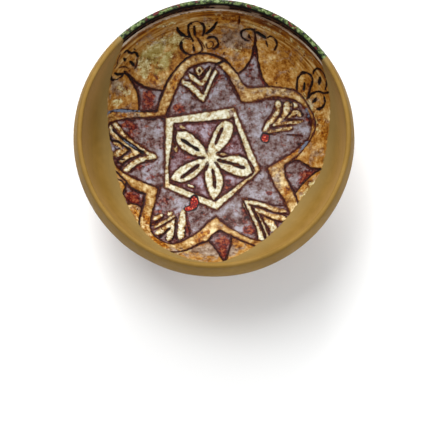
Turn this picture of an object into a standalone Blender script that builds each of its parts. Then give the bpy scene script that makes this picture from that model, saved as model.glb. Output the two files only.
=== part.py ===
"""A footed sgraffito bowl and the plaster infill of its broken side, in metres, +Z up.

The origin is under the middle of the foot. The bowl is turned, so each side of its
section is one profile, from the axis out to the crest of the lip. What is drawn on a
side, such as the carved star and the line of the break, is laid out on a flat plan of
it: a point's distance from the middle of the plan is its distance along the profile,
and its bearing is its bearing round the bowl, counter-clockwise from +X.
"""

import math

import bpy
import numpy as np
from mathutils import Vector
from mathutils.geometry import delaunay_2d_cdt

# Sizes of the section, in metres
BOWL_RADIUS = 0.1000
BOWL_HEIGHT = 0.0996
RIM_HEIGHT = 0.0176
LIP_INSET = 0.0052
LIP_ROUND = 0.0021
WALL = 0.0057
FLOOR_RADIUS = 0.0418
FLOOR_RISE = 0.0018
FLOOR_THICKNESS = 0.0065
FOOT_HEIGHT = 0.0314
FOOT_RADIUS = 0.0414
ROOT_SPREAD = 0.0162
NECK_RADIUS = 0.0285
NECK_HEIGHT = 0.0223
BEAD_HEIGHT = 0.0080
BEAD_STEP = 0.0038
REST_INSET = 0.0054
REST_WIDTH = 0.0032
FOOT_WALL = 0.0083
HOLLOW_HEIGHT = 0.0212

# Sizes of the carving and of the break, in metres
GROOVE_DEPTH = 0.0007
FIELD_DEPTH = 0.0004
RING_DEPTH = 0.0005
BREAK_GAP = 0.0003

# Fineness of the solids
SEGMENTS = 60
FINE = 24
CURVE_STEP = 5.4
STRAIGHT_STEP = 9.0
BREAK_STEP = 5.0
LEAST_SPACING = 0.5
CUT_STEP = 0.1
FILLER_ROOM = 0.9

# The plan's radius in its own units, which are millimetres at the sizes above
PLAN_RADIUS = 133.0

# The star, in plan units and degrees. Its middle, then the five points of its pentagon
STAR = np.array((-4.0, -4.0))
PENTAGON_RADIUS = 40.5
PENTAGON_BAND = 4.6
LINE = 1.8

# One row for each point of the star: bearing of the pentagon's corner, reach and bearing
# of the inner and the outer notch of the band, of the spike's tip and of the petal's tip
POINTS = (
    (62, (45.8, 58.4), (57.7, 61.0), (90.6, 68.0), (29.0, 56)),
    (141, (42.1, 136.4), (49.4, 140.3), (88.5, 137.3), (30.0, 140)),
    (218, (44.5, 214.9), (55.5, 214.0), (88.2, 213.0), (33.0, 215)),
    (278, (46.4, 277.4), (58.0, 280.9), (91.0, 278.5), (32.5, 278)),
    (344, (44.3, 346.3), (57.2, 348.4), (87.2, 350.4), (36.0, 336)),
)

# One row for each lobe, from a point of the star to the next: reach and bearing of its
# crown, how full its sides are as a share of their span, and how broad its crown is
LOBES = (
    (69.1, 93.3, 0.55, 12),
    (77.7, 175.6, 0.65, 14),
    (79.2, 245.4, 0.60, 11),
    (84.0, 311.0, 0.60, 13),
    (78.7, 377.7, 0.72, 15),
)
LOBE_LEAN = 15
LOBE_BAND = 6.0

# One row for each lobe's chevrons: reach and bearing of the outer apex, bearing of the
# axis, half the angle between the arms, and the length of the clockwise and other arm
CHEVRONS = (
    (39.7, 95.8, 103, 35, 24.0, 21.6),
    (38.0, 183.0, 176, 31, 41.0, 28.0),
    (44.8, 246.3, 247.5, 32.5, 28.0, 23.0),
    (41.4, 307.0, 318, 27, 36.0, 34.0),
    (43.0, 21.8, 38, 28, 24.0, 27.0),
)
NESTED = ((0.0, 1.0), (8.0, 0.72), (17.0, 0.40))

PETAL_WIDTH = 10.5
PETAL_SLIT = (0.34, 0.80)
SPIKE_FOOT = 13.5
SPIKE_WAIST = 0.45

# The palmettes and finials round the star, each stroke as the few points it runs through
PALMETTES = (
    ((-31, 93), (-27, 86.5), (-19, 84.5)),
    ((-16, 98.5), (-20, 96), (-20.5, 89), (-16, 80.5)),
    ((-17, 96.5), (-16, 90), (-15, 85)),
    ((-14, 98.5), (-10.5, 97), (-8.5, 90), (-8.5, 86)),
    ((1, 99.5), (-1, 93.5), (-3.5, 89.5), (-8, 86.5)),
    ((-26, 83), (-26, 77), (-22.5, 72), (-17, 70.5), (-10, 72.5)),
    ((-12.5, 82), (-10, 77), (-9.5, 72.5)),
    ((-9, 79), (-7, 83.5), (-2.5, 84.3), (1.8, 80), (-0.5, 76), (-5, 76)),
    ((70, 37), (73, 44), (76, 50), (75, 55), (69, 57), (63.5, 53), (61.5, 43)),
    ((67.5, 44), (69, 48)),
    ((77, 55), (80, 59), (86, 60.5), (91, 56), (91.5, 50), (88, 42.5)),
    ((82, 48.5), (85, 53)),
    ((70, 37), (74, 40.5), (80, 41.8), (86, 40.5), (92, 41)),
    ((86, 38), (86.5, 33.5), (83, 29.5), (78, 28.5)),
    ((74.5, 34), (78, 37)),
)
FINIALS = (
    ((32, 91), (25.5, 91.2), (20.8, 88), (21.5, 83.5), (27, 80.8)),
    ((25.5, 87), (27, 82.5)),
    ((32, 90), (36.5, 87), (40, 86)),
    ((40, 86), (45, 85.3), (48, 81), (46, 76), (43, 74.5)),
    ((39, 85), (39, 80.5)),
    ((-75, 72.5), (-70, 73), (-65, 72), (-60.5, 69)),
    ((-74, 67), (-70, 64.5)),
    ((-66, 64), (-62, 61)),
    ((-82, 50.5), (-77, 50), (-73, 52.5), (-69, 56)),
)

# The line of the break on the inside's plan, from lip to lip round the near side
BREAK = (
    (-93.3, 94.8),
    (-80.5, 80),
    (-82.5, 60),
    (-82.5, 28),
    (-76, -8),
    (-67, -40),
    (-50, -71),
    (-28, -88),
    (0, -95.5),
    (20, -86.5),
    (45, -66),
    (64, -42),
    (81, -20),
    (87.5, 5),
    (92.5, 35),
    (93.5, 66),
    (109, 76),
)

# Lines turned into the original rim: on the inside by distance below the crest along the
# wall, and on the outside by height below the crest, with the wave cut between them
INSIDE_RINGS = ((0.0203, 1.6), (0.0145, 2.2))
OUTSIDE_RINGS = (0.0043, 0.0064, 0.0143, 0.0174)
OUTSIDE_LINE = 1.2
WAVE_DROP = 0.0105
WAVE_RISE = 0.0022
WAVE_COUNT = 62
WAVE_POINTS = 5


def bezier(start, first, second, end, steps):
    """Points along a cubic curve, both ends included."""
    share = np.linspace(0, 1, steps + 1)[:, None]
    rest = 1 - share
    start, first, second, end = map(np.array, (start, first, second, end))
    return rest**3 * start + 3 * share * rest**2 * first + 3 * share**2 * rest * second + share**3 * end


def between(start, end, across, along):
    """The point at these shares of the way from start to end, in radius and in height."""
    return start[0] + across * (end[0] - start[0]), start[1] + along * (end[1] - start[1])


class Side:
    """One side of the section: a profile, and the plan of the surface that it turns."""

    def __init__(self, curves, into):
        points = [np.array([curves[0][0]])]
        for start, first, second, end, steps in curves:
            points.append(bezier(start, first, second, end, steps * FINE)[1:])
        self.profile = np.concatenate(points)
        lengths = np.hypot(*np.diff(self.profile, axis=0).T)
        self.along = np.concatenate([[0], np.cumsum(lengths)])
        self.reach = self.along[-1]
        self.rings = self.along[::FINE]
        tangent = np.gradient(self.profile, axis=0)
        tangent /= np.hypot(*tangent.T)[:, None]
        self.into = into * np.stack([tangent[:, 1], -tangent[:, 0]], axis=1)

    def section(self, distance):
        """Radius and height at a distance along the profile."""
        return [np.interp(distance, self.along, column) for column in self.profile.T]

    def place(self, plan, depth, unit):
        """Points in space for points of the plan, sunk into the clay by a depth."""
        distance = np.hypot(*plan.T) * unit
        bearing = np.arctan2(plan[:, 1], plan[:, 0])
        radius, height = self.section(distance)
        radius = radius + depth * np.interp(distance, self.along, self.into[:, 0])
        height = height + depth * np.interp(distance, self.along, self.into[:, 1])
        return np.stack([radius * np.cos(bearing), radius * np.sin(bearing), height], axis=1)


def inside_curves():
    """The inside, from the middle of the floor to the crest of the lip."""
    floor = (0, FOOT_HEIGHT + FLOOR_THICKNESS)
    edge = (FLOOR_RADIUS, floor[1] + FLOOR_RISE)
    widest = (BOWL_RADIUS - WALL, BOWL_HEIGHT - RIM_HEIGHT + 0.8 * WALL)
    lip = BOWL_RADIUS - LIP_INSET
    turn = (lip - LIP_ROUND, BOWL_HEIGHT - LIP_ROUND)
    crest = (lip, BOWL_HEIGHT)
    yield floor, between(floor, edge, 0.63, 0), between(floor, edge, 0.82, 0.47), edge, 2
    yield edge, between(edge, widest, 0.61, 0.08), between(edge, widest, 1, 0.52), widest, 7
    yield widest, between(widest, turn, 0, 0.4), between(widest, turn, 0.8, 0.7), turn, 2
    yield turn, between(turn, crest, 0, 0.55), between(turn, crest, 0.45, 1), crest, 2


def outside_curves():
    """The outside, from the middle of the hollow under the foot to the crest of the lip."""
    hollow_radius = NECK_RADIUS - FOOT_WALL
    rest_outer = FOOT_RADIUS - REST_INSET
    rest_inner = rest_outer - REST_WIDTH
    bead_top = (FOOT_RADIUS - BEAD_STEP, BEAD_HEIGHT)
    # These handles make the bead's curve just reach the foot's radius
    bulge = (FOOT_RADIUS - (rest_outer + bead_top[0]) / 8) / 0.75
    top = (0, HOLLOW_HEIGHT)
    mouth = (hollow_radius, 0.28 * HOLLOW_HEIGHT)
    foot_in = (rest_inner, 0)
    foot_out = (rest_outer, 0)
    neck = (NECK_RADIUS, NECK_HEIGHT)
    root = (NECK_RADIUS + ROOT_SPREAD, FOOT_HEIGHT)
    widest = (BOWL_RADIUS, BOWL_HEIGHT - RIM_HEIGHT)
    lip = BOWL_RADIUS - LIP_INSET
    turn = (lip + LIP_ROUND, BOWL_HEIGHT - LIP_ROUND)
    crest = (lip, BOWL_HEIGHT)
    yield top, between(top, mouth, 0.6, 0), between(top, mouth, 0.96, 0.4), mouth, 4
    yield mouth, between(mouth, foot_in, 0.04, 0.4), between(mouth, foot_in, 0.45, 0.57), foot_in, 3
    yield foot_in, between(foot_in, foot_out, 0.3, 0), between(foot_in, foot_out, 0.7, 0), foot_out, 1
    yield foot_out, (bulge, 0.02 * BEAD_HEIGHT), (bulge, 0.8 * BEAD_HEIGHT), bead_top, 4
    yield bead_top, between(bead_top, neck, 0.67, 0.06), between(bead_top, neck, 0.5, 0.52), neck, 3
    yield neck, between(neck, root, 0, 0.79), between(neck, root, 0.4, 0.82), root, 4
    yield root, between(root, widest, 0.96, 0.165), between(root, widest, 1, 0.89), widest, 8
    yield widest, between(widest, turn, 0, 0.4), between(widest, turn, 0.6, 0.78), turn, 2
    yield turn, between(turn, crest, 0, 0.55), between(turn, crest, 0.45, 1), crest, 2


def polar(centre, reach, degrees):
    """The point of the plan at this reach and bearing from a centre."""
    turn = math.radians(degrees)
    return np.array(centre) + reach * np.array((math.cos(turn), math.sin(turn)))


def straight(start, end, step=STRAIGHT_STEP):
    """A straight path in equal steps, both ends included."""
    start = np.array(start, float)
    end = np.array(end, float)
    count = max(1, math.ceil(np.hypot(*(end - start)) / step))
    return start + np.linspace(0, 1, count + 1)[:, None] * (end - start)


def resampled(path, step):
    """The same path in equal steps."""
    along = np.concatenate([[0], np.cumsum(np.hypot(*np.diff(path, axis=0).T))])
    count = max(1, math.ceil(along[-1] / step))
    marks = np.linspace(0, along[-1], count + 1)
    return np.stack([np.interp(marks, along, column) for column in path.T], axis=1)


def spline(points, step=CURVE_STEP):
    """A smooth path through the points, in equal steps."""
    points = np.array(points, float)
    if len(points) == 2:
        return straight(points[0], points[1], step)
    before = 2 * points[0] - points[1]
    after = 2 * points[-1] - points[-2]
    padded = np.concatenate([[before], points, [after]])
    share = np.linspace(0, 1, FINE, endpoint=False)[:, None]
    runs = []
    for a, b, c, d in zip(padded, padded[1:], padded[2:], padded[3:]):
        bend = 2 * a - 5 * b + 4 * c - d
        twist = 3 * b - a - 3 * c + d
        runs.append(b + 0.5 * share * (c - a + share * (bend + share * twist)))
    return resampled(np.concatenate(runs + [points[-1:]]), step)


def joined(*paths):
    """One path of several that follow on."""
    return np.concatenate([path[:-1] for path in paths[:-1]] + [paths[-1]])


def petal(length, bearing):
    """The closed outline of one petal, from the star's middle out and back."""
    share = np.linspace(0.12, 1, 8)
    half = 0.5 * PETAL_WIDTH * np.sin(np.pi * share**1.35) ** 0.6
    along = np.concatenate([share, share[-2::-1]]) * length
    across = np.concatenate([half, -half[-2::-1]])
    turn = math.radians(bearing)
    axis = np.array((math.cos(turn), math.sin(turn)))
    side = np.array((-axis[1], axis[0]))
    return STAR + along[:, None] * axis + across[:, None] * side


def lobe(index, notch, band):
    """A lobe's line from the notch at its clockwise side over the crown to the next notch."""
    reach, bearing, fullness, crown = LOBES[index]
    first = polar(STAR, *POINTS[index][notch])
    last = polar(STAR, *POINTS[(index + 1) % len(POINTS)][notch])
    top = polar(STAR, reach + band, bearing)
    sides = []
    for foot, turn in ((first, 1), (last, -1)):
        pull = fullness * np.hypot(*(top - foot))
        sides.append((foot, polar(foot, pull, bearing + turn * LOBE_LEAN), polar(top, crown, bearing - 90 * turn)))
    (a, b, c), (f, e, d) = sides
    path = joined(bezier(a, b, c, top, FINE), bezier(top, d, e, f, FINE))
    return resampled(path, CURVE_STEP)


def walked(path, distance):
    """The point at a distance along a path."""
    along = np.concatenate([[0], np.cumsum(np.hypot(*np.diff(path, axis=0).T))])
    return np.array([np.interp(distance, along, column) for column in path.T])


def spike(index):
    """The two concave sides of the spike outside a notch, each from its foot to the tip."""
    tip = polar(STAR, *POINTS[index][3])
    notch = polar(STAR, *POINTS[index][2])
    waist = notch + SPIKE_WAIST * (tip - notch)
    sides = []
    for path in (lobe(index, 2, LOBE_BAND), lobe(index - 1, 2, LOBE_BAND)[::-1]):
        foot = walked(path, SPIKE_FOOT)
        sides.append(resampled(bezier(foot, (foot + 2 * waist) / 3, (tip + 2 * waist) / 3, tip, FINE), CURVE_STEP))
    return sides


def chevron(index, offset, share):
    """One nested chevron: the end of its clockwise arm, its apex and the other end."""
    reach, bearing, axis, half, clockwise, other = CHEVRONS[index]
    apex = polar(polar(STAR, reach, bearing), offset, axis)
    return polar(apex, share * clockwise, axis - half), apex, polar(apex, share * other, axis + half)


def pentagon(inset):
    """The closed pentagon of the star, set in by a distance from its outer line."""
    corners = [polar(STAR, PENTAGON_RADIUS - inset / math.cos(math.radians(36)), row[0]) for row in POINTS]
    corners.append(corners[0])
    return joined(*[straight(a, b) for a, b in zip(corners, corners[1:])])


def inside_strokes():
    """Every incised line of the inside, as a path on the plan and its width."""
    yield pentagon(0), LINE
    yield pentagon(PENTAGON_BAND), LINE
    for index, row in enumerate(POINTS):
        length, bearing = row[4]
        yield petal(length, bearing), LINE
        yield straight(*[polar(STAR, share * length, bearing) for share in PETAL_SLIT]), 1.3 * LINE
        yield lobe(index, 1, 0), LINE
        yield lobe(index, 2, LOBE_BAND), LINE
        for side in spike(index):
            yield side, LINE
        for offset, share in NESTED:
            end, apex, other = chevron(index, offset, share)
            yield joined(straight(end, apex), straight(apex, other)), LINE
    for points in PALMETTES + FINIALS:
        yield spline(points), LINE


def arc(radius, first, last, step=CURVE_STEP):
    """A round path about the plan's middle, between two bearings in radians."""
    count = max(1, math.ceil(radius * abs(last - first) / step))
    bearing = np.linspace(first, last, count + 1)
    return radius * np.stack([np.cos(bearing), np.sin(bearing)], axis=1)


def fields():
    """The closed outlines of the sunk ground, each with the outlines that stay proud in it."""
    petals = [petal(*row[4]) for row in POINTS]
    yield pentagon(PENTAGON_BAND), petals
    for index, row in enumerate(POINTS):
        raised = [pentagon(0), np.array(chevron(index, 0, 1.0))]
        yield lobe(index, 1, 0), raised
        first, second = spike(index)
        notch = polar(STAR, *row[2])
        yield np.concatenate([[notch], first, second[::-1]]), []


def contains(outline, points):
    """Which of the points lie inside a closed outline."""
    x, y = points[:, None, 0], points[:, None, 1]
    x1, y1 = outline.T
    x2, y2 = np.roll(outline, -1, axis=0).T
    rise = np.where(y2 == y1, 1, y2 - y1)
    crossed = ((y1 > y) != (y2 > y)) & (x < x1 + (y - y1) / rise * (x2 - x1))
    return crossed.sum(axis=1) % 2 == 1


def clearance(path, points, closed=False):
    """The distance from each point to a path."""
    ends = np.roll(path, -1, axis=0) if closed else path[1:]
    starts = path if closed else path[:-1]
    run = ends - starts
    length = np.maximum((run**2).sum(axis=1), 1e-12)
    offset = points[:, None] - starts
    share = np.clip((offset * run).sum(axis=2) / length, 0, 1)
    return np.hypot(*np.moveaxis(offset - share[..., None] * run, 2, 0)).min(axis=1)


def margin(loop, points):
    """How far inside a closed loop each point lies, below zero outside."""
    return np.where(contains(loop, points), 1, -1) * clearance(loop, points, closed=True)


def cut_point(held, lost, loop, keep):
    """The last point on the way from a held point to a lost one that is this far inside a loop."""
    marks = straight(held, lost, CUT_STEP)
    inside = margin(loop, marks) > keep
    return marks[max(1, inside.argmin() - 1)]


def clipped(path, loop, keep):
    """The runs of a path that stay at least this far inside a loop, cut off there."""
    inside = margin(loop, path) > keep
    run = []
    for index, point in enumerate(path):
        before = path[index - 1]
        if inside[index]:
            if index and not inside[index - 1]:
                run.append(cut_point(point, before, loop, keep))
            run.append(point)
        elif run:
            run.append(cut_point(before, point, loop, keep))
            yield np.array(run)
            run = []
    if len(run) > 1:
        yield np.array(run)


def edges_of(path, width):
    """The two edges of a stroke, mitred at its corners. An open stroke ends in a point."""
    closed = np.allclose(path[0], path[-1])
    run = np.diff(path, axis=0)
    run /= np.hypot(*run.T)[:, None]
    before = np.concatenate([run[-1:] if closed else run[:1], run])
    after = np.concatenate([run, run[:1] if closed else run[-1:]])
    middle = before + after
    middle /= np.maximum(np.hypot(*middle.T), 1e-6)[:, None]
    mitre = np.maximum((middle * after).sum(axis=1), 0.5)
    offset = 0.5 * width * np.stack([-middle[:, 1], middle[:, 0]], axis=1) / mitre[:, None]
    if not closed:
        offset[0] = 0
        offset[-1] = 0
    return path + offset, path - offset


class Plan:
    """The points and lines of one surface's plan, with near points taken as one."""

    def __init__(self, loop):
        self.points = list(loop)
        count = len(loop)
        self.lines = [(index, (index + 1) % count) for index in range(count)]

    def add(self, point):
        """The number of this point, or of one that is there already."""
        near = np.hypot(*(np.array(self.points) - point).T)
        nearest = int(near.argmin())
        if near[nearest] < LEAST_SPACING:
            return nearest
        self.points.append(point)
        return len(self.points) - 1

    def draw(self, path):
        """Adds a path as lines that the mesh keeps."""
        numbers = [self.add(point) for point in path]
        self.lines += [(a, b) for a, b in zip(numbers, numbers[1:]) if a != b]

    def triangles(self, loop):
        """The plan's points and the triangles within the loop, the loop's own points first."""
        vectors = [Vector(point) for point in self.points]
        found = delaunay_2d_cdt(vectors, self.lines, [], 0, 1e-4, True)
        points = np.array([tuple(point) for point in found[0]])
        faces = np.array([tuple(face) for face in found[2]])
        faces = faces[contains(loop, points[faces].mean(axis=1))]
        first = [next(n for n, known in enumerate(found[3]) if k in known) for k in range(len(loop))]
        order = first + sorted(set(faces.flat) - set(first))
        number = np.zeros(len(points), int)
        number[order] = range(len(order))
        return points[order], number[faces]


def surface(side, unit, loop, strokes, grounds, depth):
    """The points and triangles of one surface within a loop of its plan, with its carving."""
    plan = Plan(loop)
    drawn = []
    for path, width in strokes:
        for run in clipped(path, loop, width):
            drawn.append((run, width))
            plan.draw(run)
            for edge in edges_of(run, width):
                plan.draw(edge)
    bearings = np.arange(SEGMENTS) * 2 * math.pi / SEGMENTS
    spokes = np.stack([np.cos(bearings), np.sin(bearings)], axis=1)
    filler = np.concatenate([[(0, 0)]] + [ring / unit * spokes for ring in side.rings[1:-1]])
    room = margin(loop, filler)
    for run, width in drawn:
        room = np.minimum(room, clearance(run, filler) - width / 2)
    plan.points += list(filler[room > FILLER_ROOM])
    points, faces = plan.triangles(loop)
    sunk = np.zeros(len(points))
    for outline, raised in grounds:
        held = contains(outline, points)
        for other in raised:
            held &= ~contains(other, points)
        sunk[held] = FIELD_DEPTH
    for run, width in drawn:
        near = np.clip(1 - 2 * clearance(run, points) / width, 0, 1)
        sunk = np.maximum(sunk, depth * near)
    sunk[: len(loop)] = 0
    return side.place(points, sunk, unit), faces


def through_wall(inside, outside, loop, unit):
    """The loop's points carried out through the wall, along lines from the middle of the rim."""
    radius, height = inside.section(np.hypot(*loop.T) * unit)
    fall = (BOWL_HEIGHT - height) / radius
    wall = outside.profile[:, 0] > NECK_RADIUS + ROOT_SPREAD
    wall &= outside.profile[:, 1] > FOOT_HEIGHT
    falls = (BOWL_HEIGHT - outside.profile[wall, 1]) / outside.profile[wall, 0]
    distance = np.interp(fall, falls[::-1], outside.along[wall][::-1])
    return loop / np.hypot(*loop.T)[:, None] * distance[:, None] / unit


def break_line(shift):
    """The break on the inside's plan, moved to its left by a distance, both ends on the crest."""
    path = spline(BREAK, BREAK_STEP)
    left, right = edges_of(path, 2 * abs(shift))
    line = left if shift > 0 else right
    run = path[[1, -2]] - path[[0, -1]]
    aside = shift * np.stack([-run[:, 1], run[:, 0]], axis=1) / np.hypot(*run.T)[:, None]
    line[0] = path[0] + aside[0]
    line[-1] = path[-1] - aside[1]
    for end in (0, -1):
        line[end] *= PLAN_RADIUS / np.hypot(*line[end])
    return line


def lip_line(first, last):
    """Points of the crest from one bearing counter-clockwise to another, ends left out."""
    step = 2 * math.pi / SEGMENTS
    start, end = (math.atan2(point[1], point[0]) for point in (first, last))
    end += 2 * math.pi * (end < start)
    marks = [k * step for k in range(-SEGMENTS, 2 * SEGMENTS)]
    marks = [mark for mark in marks if start + step / 3 < mark < end - step / 3]
    return PLAN_RADIUS * np.array([(math.cos(mark), math.sin(mark)) for mark in marks])


def shell(name, sides, shift, inside_lines, outside_lines, grounds):
    """One piece of the wall: its inside and its outside, joined along the break."""
    inside, outside = sides
    unit = inside.reach / PLAN_RADIUS
    line = break_line(shift)
    if shift < 0:
        line = line[::-1]
    loop = np.concatenate([line, lip_line(line[-1], line[0])])
    carried = through_wall(inside, outside, loop, unit)
    inner, inner_faces = surface(inside, unit, loop, inside_lines, grounds, GROOVE_DEPTH)
    outer, outer_faces = surface(outside, unit, carried, outside_lines, [], RING_DEPTH)
    # The two surfaces share the crest, which is the loop from the break's last point on
    crest = [0, *range(len(line) - 1, len(loop))]
    number = len(inner) + np.arange(len(outer))
    number[crest] = crest
    strip = np.arange(len(line) - 1)
    lower = np.stack([strip + 1, strip, number[strip]], axis=1)
    upper = np.stack([strip + 1, number[strip], number[strip + 1]], axis=1)
    faces = np.concatenate([inner_faces, number[outer_faces[:, ::-1]], lower[1:], upper[:-1]])
    used, faces = np.unique(faces, return_inverse=True)
    points = np.concatenate([inner, outer])[used]
    mesh = bpy.data.meshes.new(name)
    mesh.from_pydata(points.tolist(), [], faces.reshape(-1, 3).tolist())
    piece = bpy.data.objects.new(name, mesh)
    bpy.context.scene.collection.objects.link(piece)
    mesh.shade_smooth()
    mesh.set_sharp_from_angle(angle=math.radians(35))
    return piece


def finish(piece, colour, roughness):
    """Gives a piece its own material."""
    material = bpy.data.materials.new(piece.name)
    material.use_nodes = True
    shader = material.node_tree.nodes["Principled BSDF"]
    shader.inputs["Base Color"].default_value = (*colour, 1)
    shader.inputs["Roughness"].default_value = roughness
    shader.inputs["Metallic"].default_value = 0
    piece.data.materials.append(material)


def inside_rings(inside, unit):
    """The two lines turned under the lip of the original rim."""
    for drop, width in INSIDE_RINGS:
        radius = (inside.reach - drop) / unit
        yield arc(radius, -math.pi, math.pi, 2 * math.pi * radius / SEGMENTS), width


def outside_rings(outside, unit):
    """The four lines and the wave cut into the outside of the original rim."""
    above = outside.profile[:, 1] > FOOT_HEIGHT

    def ring_radius(drop):
        return np.interp(BOWL_HEIGHT - drop, outside.profile[above, 1], outside.along[above]) / unit

    for drop in OUTSIDE_RINGS:
        radius = ring_radius(drop)
        yield arc(radius, -math.pi, math.pi, 2 * math.pi * radius / SEGMENTS), OUTSIDE_LINE
    radius = ring_radius(WAVE_DROP)
    path = arc(radius, -math.pi, math.pi, 2 * math.pi * radius / (WAVE_COUNT * WAVE_POINTS))
    bearing = np.arctan2(path[:, 1], path[:, 0])
    yield path * (1 + WAVE_RISE / unit / radius * np.sin(WAVE_COUNT * bearing))[:, None], OUTSIDE_LINE


def main():
    for old in list(bpy.data.objects):
        bpy.data.objects.remove(old)
    sides = Side(list(inside_curves()), 1), Side(list(outside_curves()), -1)
    unit = sides[0].reach / PLAN_RADIUS
    shift = BREAK_GAP / 2 / unit
    carving = [*inside_strokes(), *inside_rings(sides[0], unit)]
    bowl = shell("glazed_bowl", sides, shift, carving, outside_rings(sides[1], unit), list(fields()))
    infill = shell("plaster_infill", sides, -shift, [], [], [])
    finish(bowl, (0.36, 0.20, 0.07), 0.3)
    finish(infill, (0.27, 0.18, 0.08), 0.8)


main()
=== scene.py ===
"""The looks of the footed sgraffito bowl and of its plaster infill, in metres, +Z up.

Both pieces are rebuilt here as fine closed meshes on the section and the plans of the
part's source: what is drawn on a side is laid out on a flat plan of it, where a point's
distance from the middle is its distance along the section and its bearing is its bearing
round the bowl. The plan's units are millimetres at the part's size. Each point of a mesh
carries how far it lies inside the drawing's lines, pale slip and violet grounds, and the
materials turn those distances into glaze colours.
"""

import math

import bpy
import numpy as np
from mathutils import Euler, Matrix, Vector
from mathutils.geometry import delaunay_2d_cdt
from mathutils.kdtree import KDTree


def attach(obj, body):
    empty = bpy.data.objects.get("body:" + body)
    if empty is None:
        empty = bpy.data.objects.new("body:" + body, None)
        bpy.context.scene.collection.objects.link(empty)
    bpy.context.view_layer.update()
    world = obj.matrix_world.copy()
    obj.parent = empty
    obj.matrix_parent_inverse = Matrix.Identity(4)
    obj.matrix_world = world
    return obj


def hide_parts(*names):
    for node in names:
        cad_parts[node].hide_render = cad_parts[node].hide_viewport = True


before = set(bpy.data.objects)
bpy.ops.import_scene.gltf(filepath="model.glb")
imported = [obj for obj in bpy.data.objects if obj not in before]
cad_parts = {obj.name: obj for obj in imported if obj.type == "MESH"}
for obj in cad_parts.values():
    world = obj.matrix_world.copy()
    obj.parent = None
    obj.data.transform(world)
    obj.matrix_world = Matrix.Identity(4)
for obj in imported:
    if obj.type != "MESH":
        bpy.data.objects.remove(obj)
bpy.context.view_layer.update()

# Sizes of the section, in metres
BOWL_RADIUS = 0.1000
BOWL_HEIGHT = 0.0996
RIM_HEIGHT = 0.0176
LIP_INSET = 0.0052
LIP_ROUND = 0.0021
WALL = 0.0057
FLOOR_RADIUS = 0.0418
FLOOR_RISE = 0.0018
FLOOR_THICKNESS = 0.0065
FOOT_HEIGHT = 0.0314
FOOT_RADIUS = 0.0414
ROOT_SPREAD = 0.0162
NECK_RADIUS = 0.0285
NECK_HEIGHT = 0.0223
BEAD_HEIGHT = 0.0080
BEAD_STEP = 0.0038
REST_INSET = 0.0054
REST_WIDTH = 0.0032
FOOT_WALL = 0.0083
HOLLOW_HEIGHT = 0.0212

# How much light the gloss adds over a colour
GLOSS = 0.013

# Depths of the carving and of the marks that turning and smoothing leave, in metres
GROOVE_DEPTH = 0.00075
FIELD_DEPTH = 0.00045
RING_DEPTH = 0.0005
CHIP_DEPTH = 0.0005
BURR_HEIGHT = 0.00008
INSIDE_DENTS = 0.00006
INSIDE_TURNING = 0.00004
OUTSIDE_DENTS = 0.0001
OUTSIDE_TURNING = 0.00007
PLASTER_DENTS = 0.0001
PLASTER_TURNING = 0.00005
BREAK_GAP = 0.00004

# How far apart the marks of turning lie, in plan units
INSIDE_PITCH = 7.5
OUTSIDE_PITCH = 6.2
PLASTER_PITCH = 5.5

# Fineness of the meshes, in plan units
PROFILE_STEP = 0.25
INNER_SPACING = 1.15
OUTER_SPACING = 1.7
STROKE_STEP = 0.6
BREAK_STEP = 0.8
LIP_STEP = 1.1
STROKE_GAP = 0.34
LARGEST_TURN = math.radians(14)
# Shares of the spacing: a row of even triangles, the closest rows, and the room round a point
ROW_SHARE = 0.87
LEAST_SHARE = 0.2
ROOM_SHARE = 0.52

# Points on each curve of the section, on each span of a spline and on a circle
CURVE_POINTS = 200
SPAN_POINTS = 24
CIRCLE_POINTS = 40

# How many waves make up a random swing, and the most comparisons made at once
WAVES = 14
LARGEST_BATCH = 4_000_000

# The plan's distance from its middle to the crest, and a note's value far from what it measures
PLAN_RADIUS = 133.0
FAR_AWAY = -9.0

# The violet ground of the star's body: runs from notch to notch along the inner line of
# each lobe, counter-clockwise from the far one
STAR_BODY = (
    ((-35.5, 24.5), (-33, 31), (-30.5, 38), (-27.5, 46), (-23.5, 54), (-19, 60), (-13, 62.8),
     (-5, 64.8), (1.5, 63.5), (5.5, 60), (9.5, 55), (13.5, 48), (17, 40.5), (20, 35.5)),
    ((20, 35.5), (29, 36), (38, 38), (47, 38.8), (56, 37.8), (63, 34.5), (68.5, 29), (72, 22),
     (72.5, 14), (70, 7.5), (64, 2), (57, -3), (49, -7.5), (38.5, -13.5)),
    ((38.5, -13.5), (41.5, -20), (45, -27.5), (49.5, -35), (53.5, -43), (57, -54), (53, -66),
     (44, -73.5), (33, -71.5), (25, -67.5), (17, -62.5), (9, -56.5), (2, -50)),
    ((2, -50), (-5, -56), (-11, -63), (-16, -67), (-23, -72), (-30, -75.5), (-38, -74.5),
     (-44, -69.5), (-46.5, -62), (-45.5, -53), (-43, -43), (-40, -29.5)),
    ((-40, -29.5), (-47, -27), (-54, -25), (-61, -22), (-67, -19.5), (-73, -15), (-78.5, -6),
     (-81, 4), (-80, 14.5), (-73, 18.8), (-62, 21.3), (-48, 23), (-35.5, 24.5)),
)
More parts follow.
